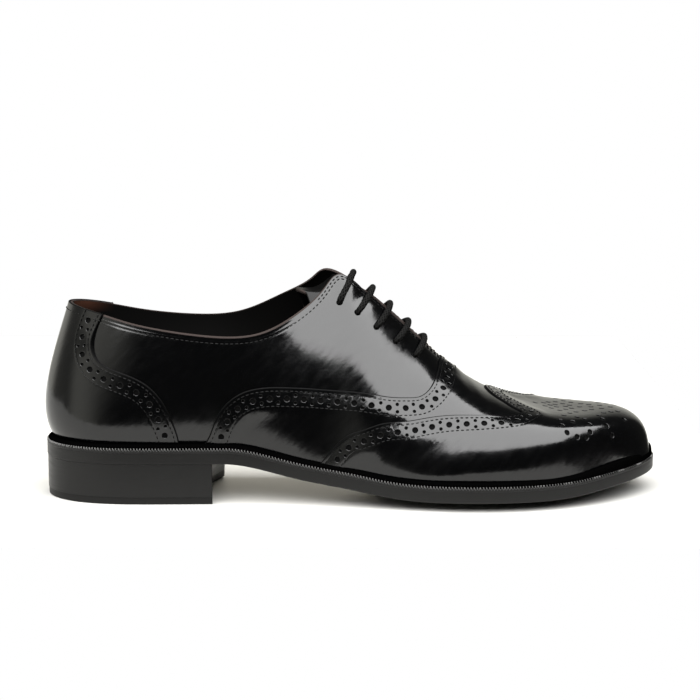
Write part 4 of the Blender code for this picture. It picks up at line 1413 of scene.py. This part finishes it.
def make_world(stage):
    """Bright backdrop behind the shoe, dark room in front of it; straight views always see white.

    The limits of the ramps are parts of a view's direction, from -1 to 1 along each axis.
    """
    world = bpy.data.worlds.new("Studio")
    bpy.context.scene.world = world
    world.use_nodes = True
    tree = world.node_tree
    add = nodes_of(tree)
    tree.nodes.clear()
    way = add("ShaderNodeSeparateXYZ", {"Vector": add("ShaderNodeTexCoord").outputs["Generated"]}).outputs

    def ramp(axis, low, high, first, last):
        limits = {"Value": way[axis], "From Min": low, "From Max": high, "To Min": first, "To Max": last}
        return add("ShaderNodeMapRange", limits, interpolation_type="SMOOTHSTEP").outputs[0]

    def times(first, second):
        return add("ShaderNodeMath", {0: first, 1: second}, operation="MULTIPLY").outputs[0]

    behind = times(times(ramp("Y", 0.35, 0.65, 0.0, stage.backdrop), ramp("Z", 0.0, 0.55, 1.0, 0.0)),
                   times(ramp("X", 0.35, 0.6, 1.0, 0.0), ramp("X", -0.75, -0.5, 0.0, 1.0)))
    beside = times(ramp("X", -0.8, -0.3, stage.side_fill, 0.0), ramp("X", -0.98, -0.84, 0.25, 1.0))
    lit = add("ShaderNodeMath", {0: behind, 1: beside}, operation="MAXIMUM").outputs[0]
    strength = add("ShaderNodeMath", {0: lit, 1: stage.room}, operation="ADD").outputs[0]
    room = add("ShaderNodeBackground", {"Color": (1.0, 0.99, 0.9, 1.0), "Strength": strength})
    white = add("ShaderNodeBackground", {"Color": (1, 1, 1, 1), "Strength": 1.0})
    seen = add("ShaderNodeLightPath").outputs["Is Camera Ray"]
    both = add("ShaderNodeMixShader", {0: seen, 1: room.outputs[0], 2: white.outputs[0]})
    add("ShaderNodeOutputWorld", {"Surface": both.outputs[0]})


def make_camera(stage):
    """Camera in front of the shoe's outer side, a little above it, level from left to right."""
    pitch = stage.camera_pitch
    distance = stage.camera_distance
    lens = bpy.data.cameras.new("camera")
    lens.sensor_width = 36.0
    lens.lens = stage.lens
    camera = bpy.data.objects.new("camera", lens)
    camera.location = (SHIFT[0] * MM, SHIFT[1] * MM - distance * math.cos(pitch),
                       stage.target_height + distance * math.sin(pitch))
    camera.rotation_euler = (math.pi / 2 - pitch, 0, 0)
    bpy.context.scene.collection.objects.link(camera)
    bpy.context.scene.camera = camera
    bpy.context.scene.view_settings.view_transform = "Standard"


def length(name, description, default):
    """A length property in metres, given in millimetres."""
    return FloatProperty(name=name, description=description, default=default * MM, min=0.0, precision=5,
                         subtype="DISTANCE", unit="LENGTH")


class BrogueSizes(bpy.types.PropertyGroup):
    """Sizes of the punching, the stitching, the lace and the welt."""
    hole_pitch: length("Hole pitch", "Distance between large holes of a band", 8.3)
    large_hole: length("Large hole", "Diameter of the large holes of a band", 2.8)
    small_hole: length("Small hole", "Diameter of the small holes of a band", 1.5)
    medallion_hole: length("Medallion hole", "Diameter of the holes on the toe", 2.5)
    eyelet: length("Eyelet", "Diameter of the lace holes", 3.0)
    edge_row: length("Edge row", "Distance of the first stitch row from a panel's edge", 1.9)
    counter_band: length("Counter band", "Distance of the second stitch row on the counter", 9.7)
    vamp_band: length("Vamp band", "Distance of the second stitch row on the vamp", 9.2)
    wing_band: length("Wing band", "Distance of the second stitch row on the wing cap", 8.6)
    collar_groove: length("Collar groove", "Distance of the groove from the topline", 2.0)
    collar_row: length("Collar row", "Distance of the stitch row from the topline", 3.6)
    stitch_pitch: length("Stitch pitch", "Distance between stitches", 2.4)
    stitch_length: length("Stitch length", "Length of one stitch", 1.9)
    thread: length("Thread", "Diameter of the thread", 0.5)
    lace_weave: length("Lace weave", "Length of one turn of the lace's weave", 2.7)
    tooth_pitch: length("Tooth pitch", "Distance between the wheel marks on the welt", 1.5)
    tooth_depth: length("Tooth depth", "Depth of the wheel marks on the welt", 0.9)


class BrogueFinish(bpy.types.PropertyGroup):
    """Finish of the leather."""
    leather: FloatVectorProperty(name="Leather", description="Colour of the leather", subtype="COLOR",
                                 default=(0.0004, 0.00045, 0.0006), min=0.0, max=1.0)
    leather_roughness: FloatProperty(name="Roughness", description="Roughness of the leather",
                                     default=0.14, min=0.0, max=1.0)


class BrogueStage(bpy.types.PropertyGroup):
    """Light and camera."""
    key: FloatProperty(name="Softbox", description="Brightness of the softbox", default=7.5, min=0.0)
    arch: FloatProperty(name="Arch lamp", description="Brightness of the lamp behind the arch", default=135.0,
                        min=0.0)
    backdrop: FloatProperty(name="Backdrop", description="Brightness behind the shoe", default=0.7, min=0.0)
    side_fill: FloatProperty(name="Side fill", description="Brightness beyond the heel", default=1.0, min=0.0)
    room: FloatProperty(name="Room", description="Brightness everywhere else", default=0.04, min=0.0)
    camera_distance: length("Camera distance", "Distance from the camera to the shoe's middle", 1000.0)
    camera_pitch: FloatProperty(name="Camera pitch", description="How far the camera looks down",
                                default=math.radians(9.2), subtype="ANGLE", unit="ROTATION")
    target_height: length("Target height", "Height that the camera looks at", 71.5)
    lens: FloatProperty(name="Lens", description="Focal length in millimetres", default=102.857, min=1.0)


PAINTS = {}


def paints():
    """The materials, made once."""
    if not PAINTS:
        PAINTS.update(make_paints(bpy.context.scene.brogue_finish))
    return PAINTS


class BROGUE_OT_quarters(bpy.types.Operator):
    """Build the quarters with their eyelets and collar stitching"""
    bl_idname = "brogue.quarters"
    bl_label = "Quarters"

    def execute(self, context):
        make_quarters(context.scene.brogue_sizes, paints())
        return {"FINISHED"}


class BROGUE_OT_vamp(bpy.types.Operator):
    """Build the vamp with its punched band"""
    bl_idname = "brogue.vamp"
    bl_label = "Vamp"

    def execute(self, context):
        make_vamp(context.scene.brogue_sizes, paints())
        return {"FINISHED"}


class BROGUE_OT_wing_cap(bpy.types.Operator):
    """Build the wing cap with its punched band and medallion"""
    bl_idname = "brogue.wing_cap"
    bl_label = "Wing cap"

    def execute(self, context):
        make_wing_cap(context.scene.brogue_sizes, paints())
        return {"FINISHED"}


class BROGUE_OT_counter(bpy.types.Operator):
    """Build the heel counter with its punched bands"""
    bl_idname = "brogue.counter"
    bl_label = "Counter"

    def execute(self, context):
        make_counter(context.scene.brogue_sizes, paints())
        return {"FINISHED"}


class BROGUE_OT_inside(bpy.types.Operator):
    """Build the lining and the tongue"""
    bl_idname = "brogue.inside"
    bl_label = "Lining and tongue"

    def execute(self, context):
        make_lining(paints())
        make_tongue(paints())
        return {"FINISHED"}


class BROGUE_OT_lace(bpy.types.Operator):
    """Build the lace bars"""
    bl_idname = "brogue.lace"
    bl_label = "Lace"

    def execute(self, context):
        make_lace(context.scene.brogue_sizes, paints())
        return {"FINISHED"}


class BROGUE_OT_sole(bpy.types.Operator):
    """Build the welt, outsole, heel and insole"""
    bl_idname = "brogue.sole"
    bl_label = "Welt and sole"

    def execute(self, context):
        make_welt(context.scene.brogue_sizes, paints())
        make_sole(paints())
        return {"FINISHED"}


class BROGUE_OT_stage(bpy.types.Operator):
    """Set up the table, the light and the camera"""
    bl_idname = "brogue.stage"
    bl_label = "Stage"

    def execute(self, context):
        stage = context.scene.brogue_stage
        make_floor()
        add_softbox(stage)
        add_arch_lamp(stage)
        make_world(stage)
        make_camera(stage)
        return {"FINISHED"}


OPERATORS = (BROGUE_OT_quarters, BROGUE_OT_vamp, BROGUE_OT_wing_cap, BROGUE_OT_counter, BROGUE_OT_inside,
             BROGUE_OT_lace, BROGUE_OT_sole, BROGUE_OT_stage)


class BROGUE_PT_panel(bpy.types.Panel):
    """Lists the steps that build the shoe"""
    bl_idname = "BROGUE_PT_panel"
    bl_label = "Brogue"
    bl_space_type = "VIEW_3D"
    bl_region_type = "UI"
    bl_category = "Brogue"

    def draw(self, context):
        for operator in OPERATORS:
            self.layout.operator(operator.bl_idname)


CLASSES = (BrogueSizes, BrogueFinish, BrogueStage, *OPERATORS, BROGUE_PT_panel)
POINTERS = {"brogue_sizes": BrogueSizes, "brogue_finish": BrogueFinish, "brogue_stage": BrogueStage}


def register():
    """Make the add-on's classes and settings known."""
    for item in CLASSES:
        bpy.utils.register_class(item)
    for name, group in POINTERS.items():
        setattr(bpy.types.Scene, name, PointerProperty(type=group))


def unregister():
    """Take the add-on's classes and settings away again."""
    for name in POINTERS:
        delattr(bpy.types.Scene, name)
    for item in reversed(CLASSES):
        bpy.utils.unregister_class(item)


def main():
    """Build every piece and the stage."""
    register()
    bpy.ops.brogue.quarters()
    bpy.ops.brogue.vamp()
    bpy.ops.brogue.wing_cap()
    bpy.ops.brogue.counter()
    bpy.ops.brogue.inside()
    bpy.ops.brogue.lace()
    bpy.ops.brogue.sole()
    bpy.ops.brogue.stage()


if __name__ == "__main__":
    main()
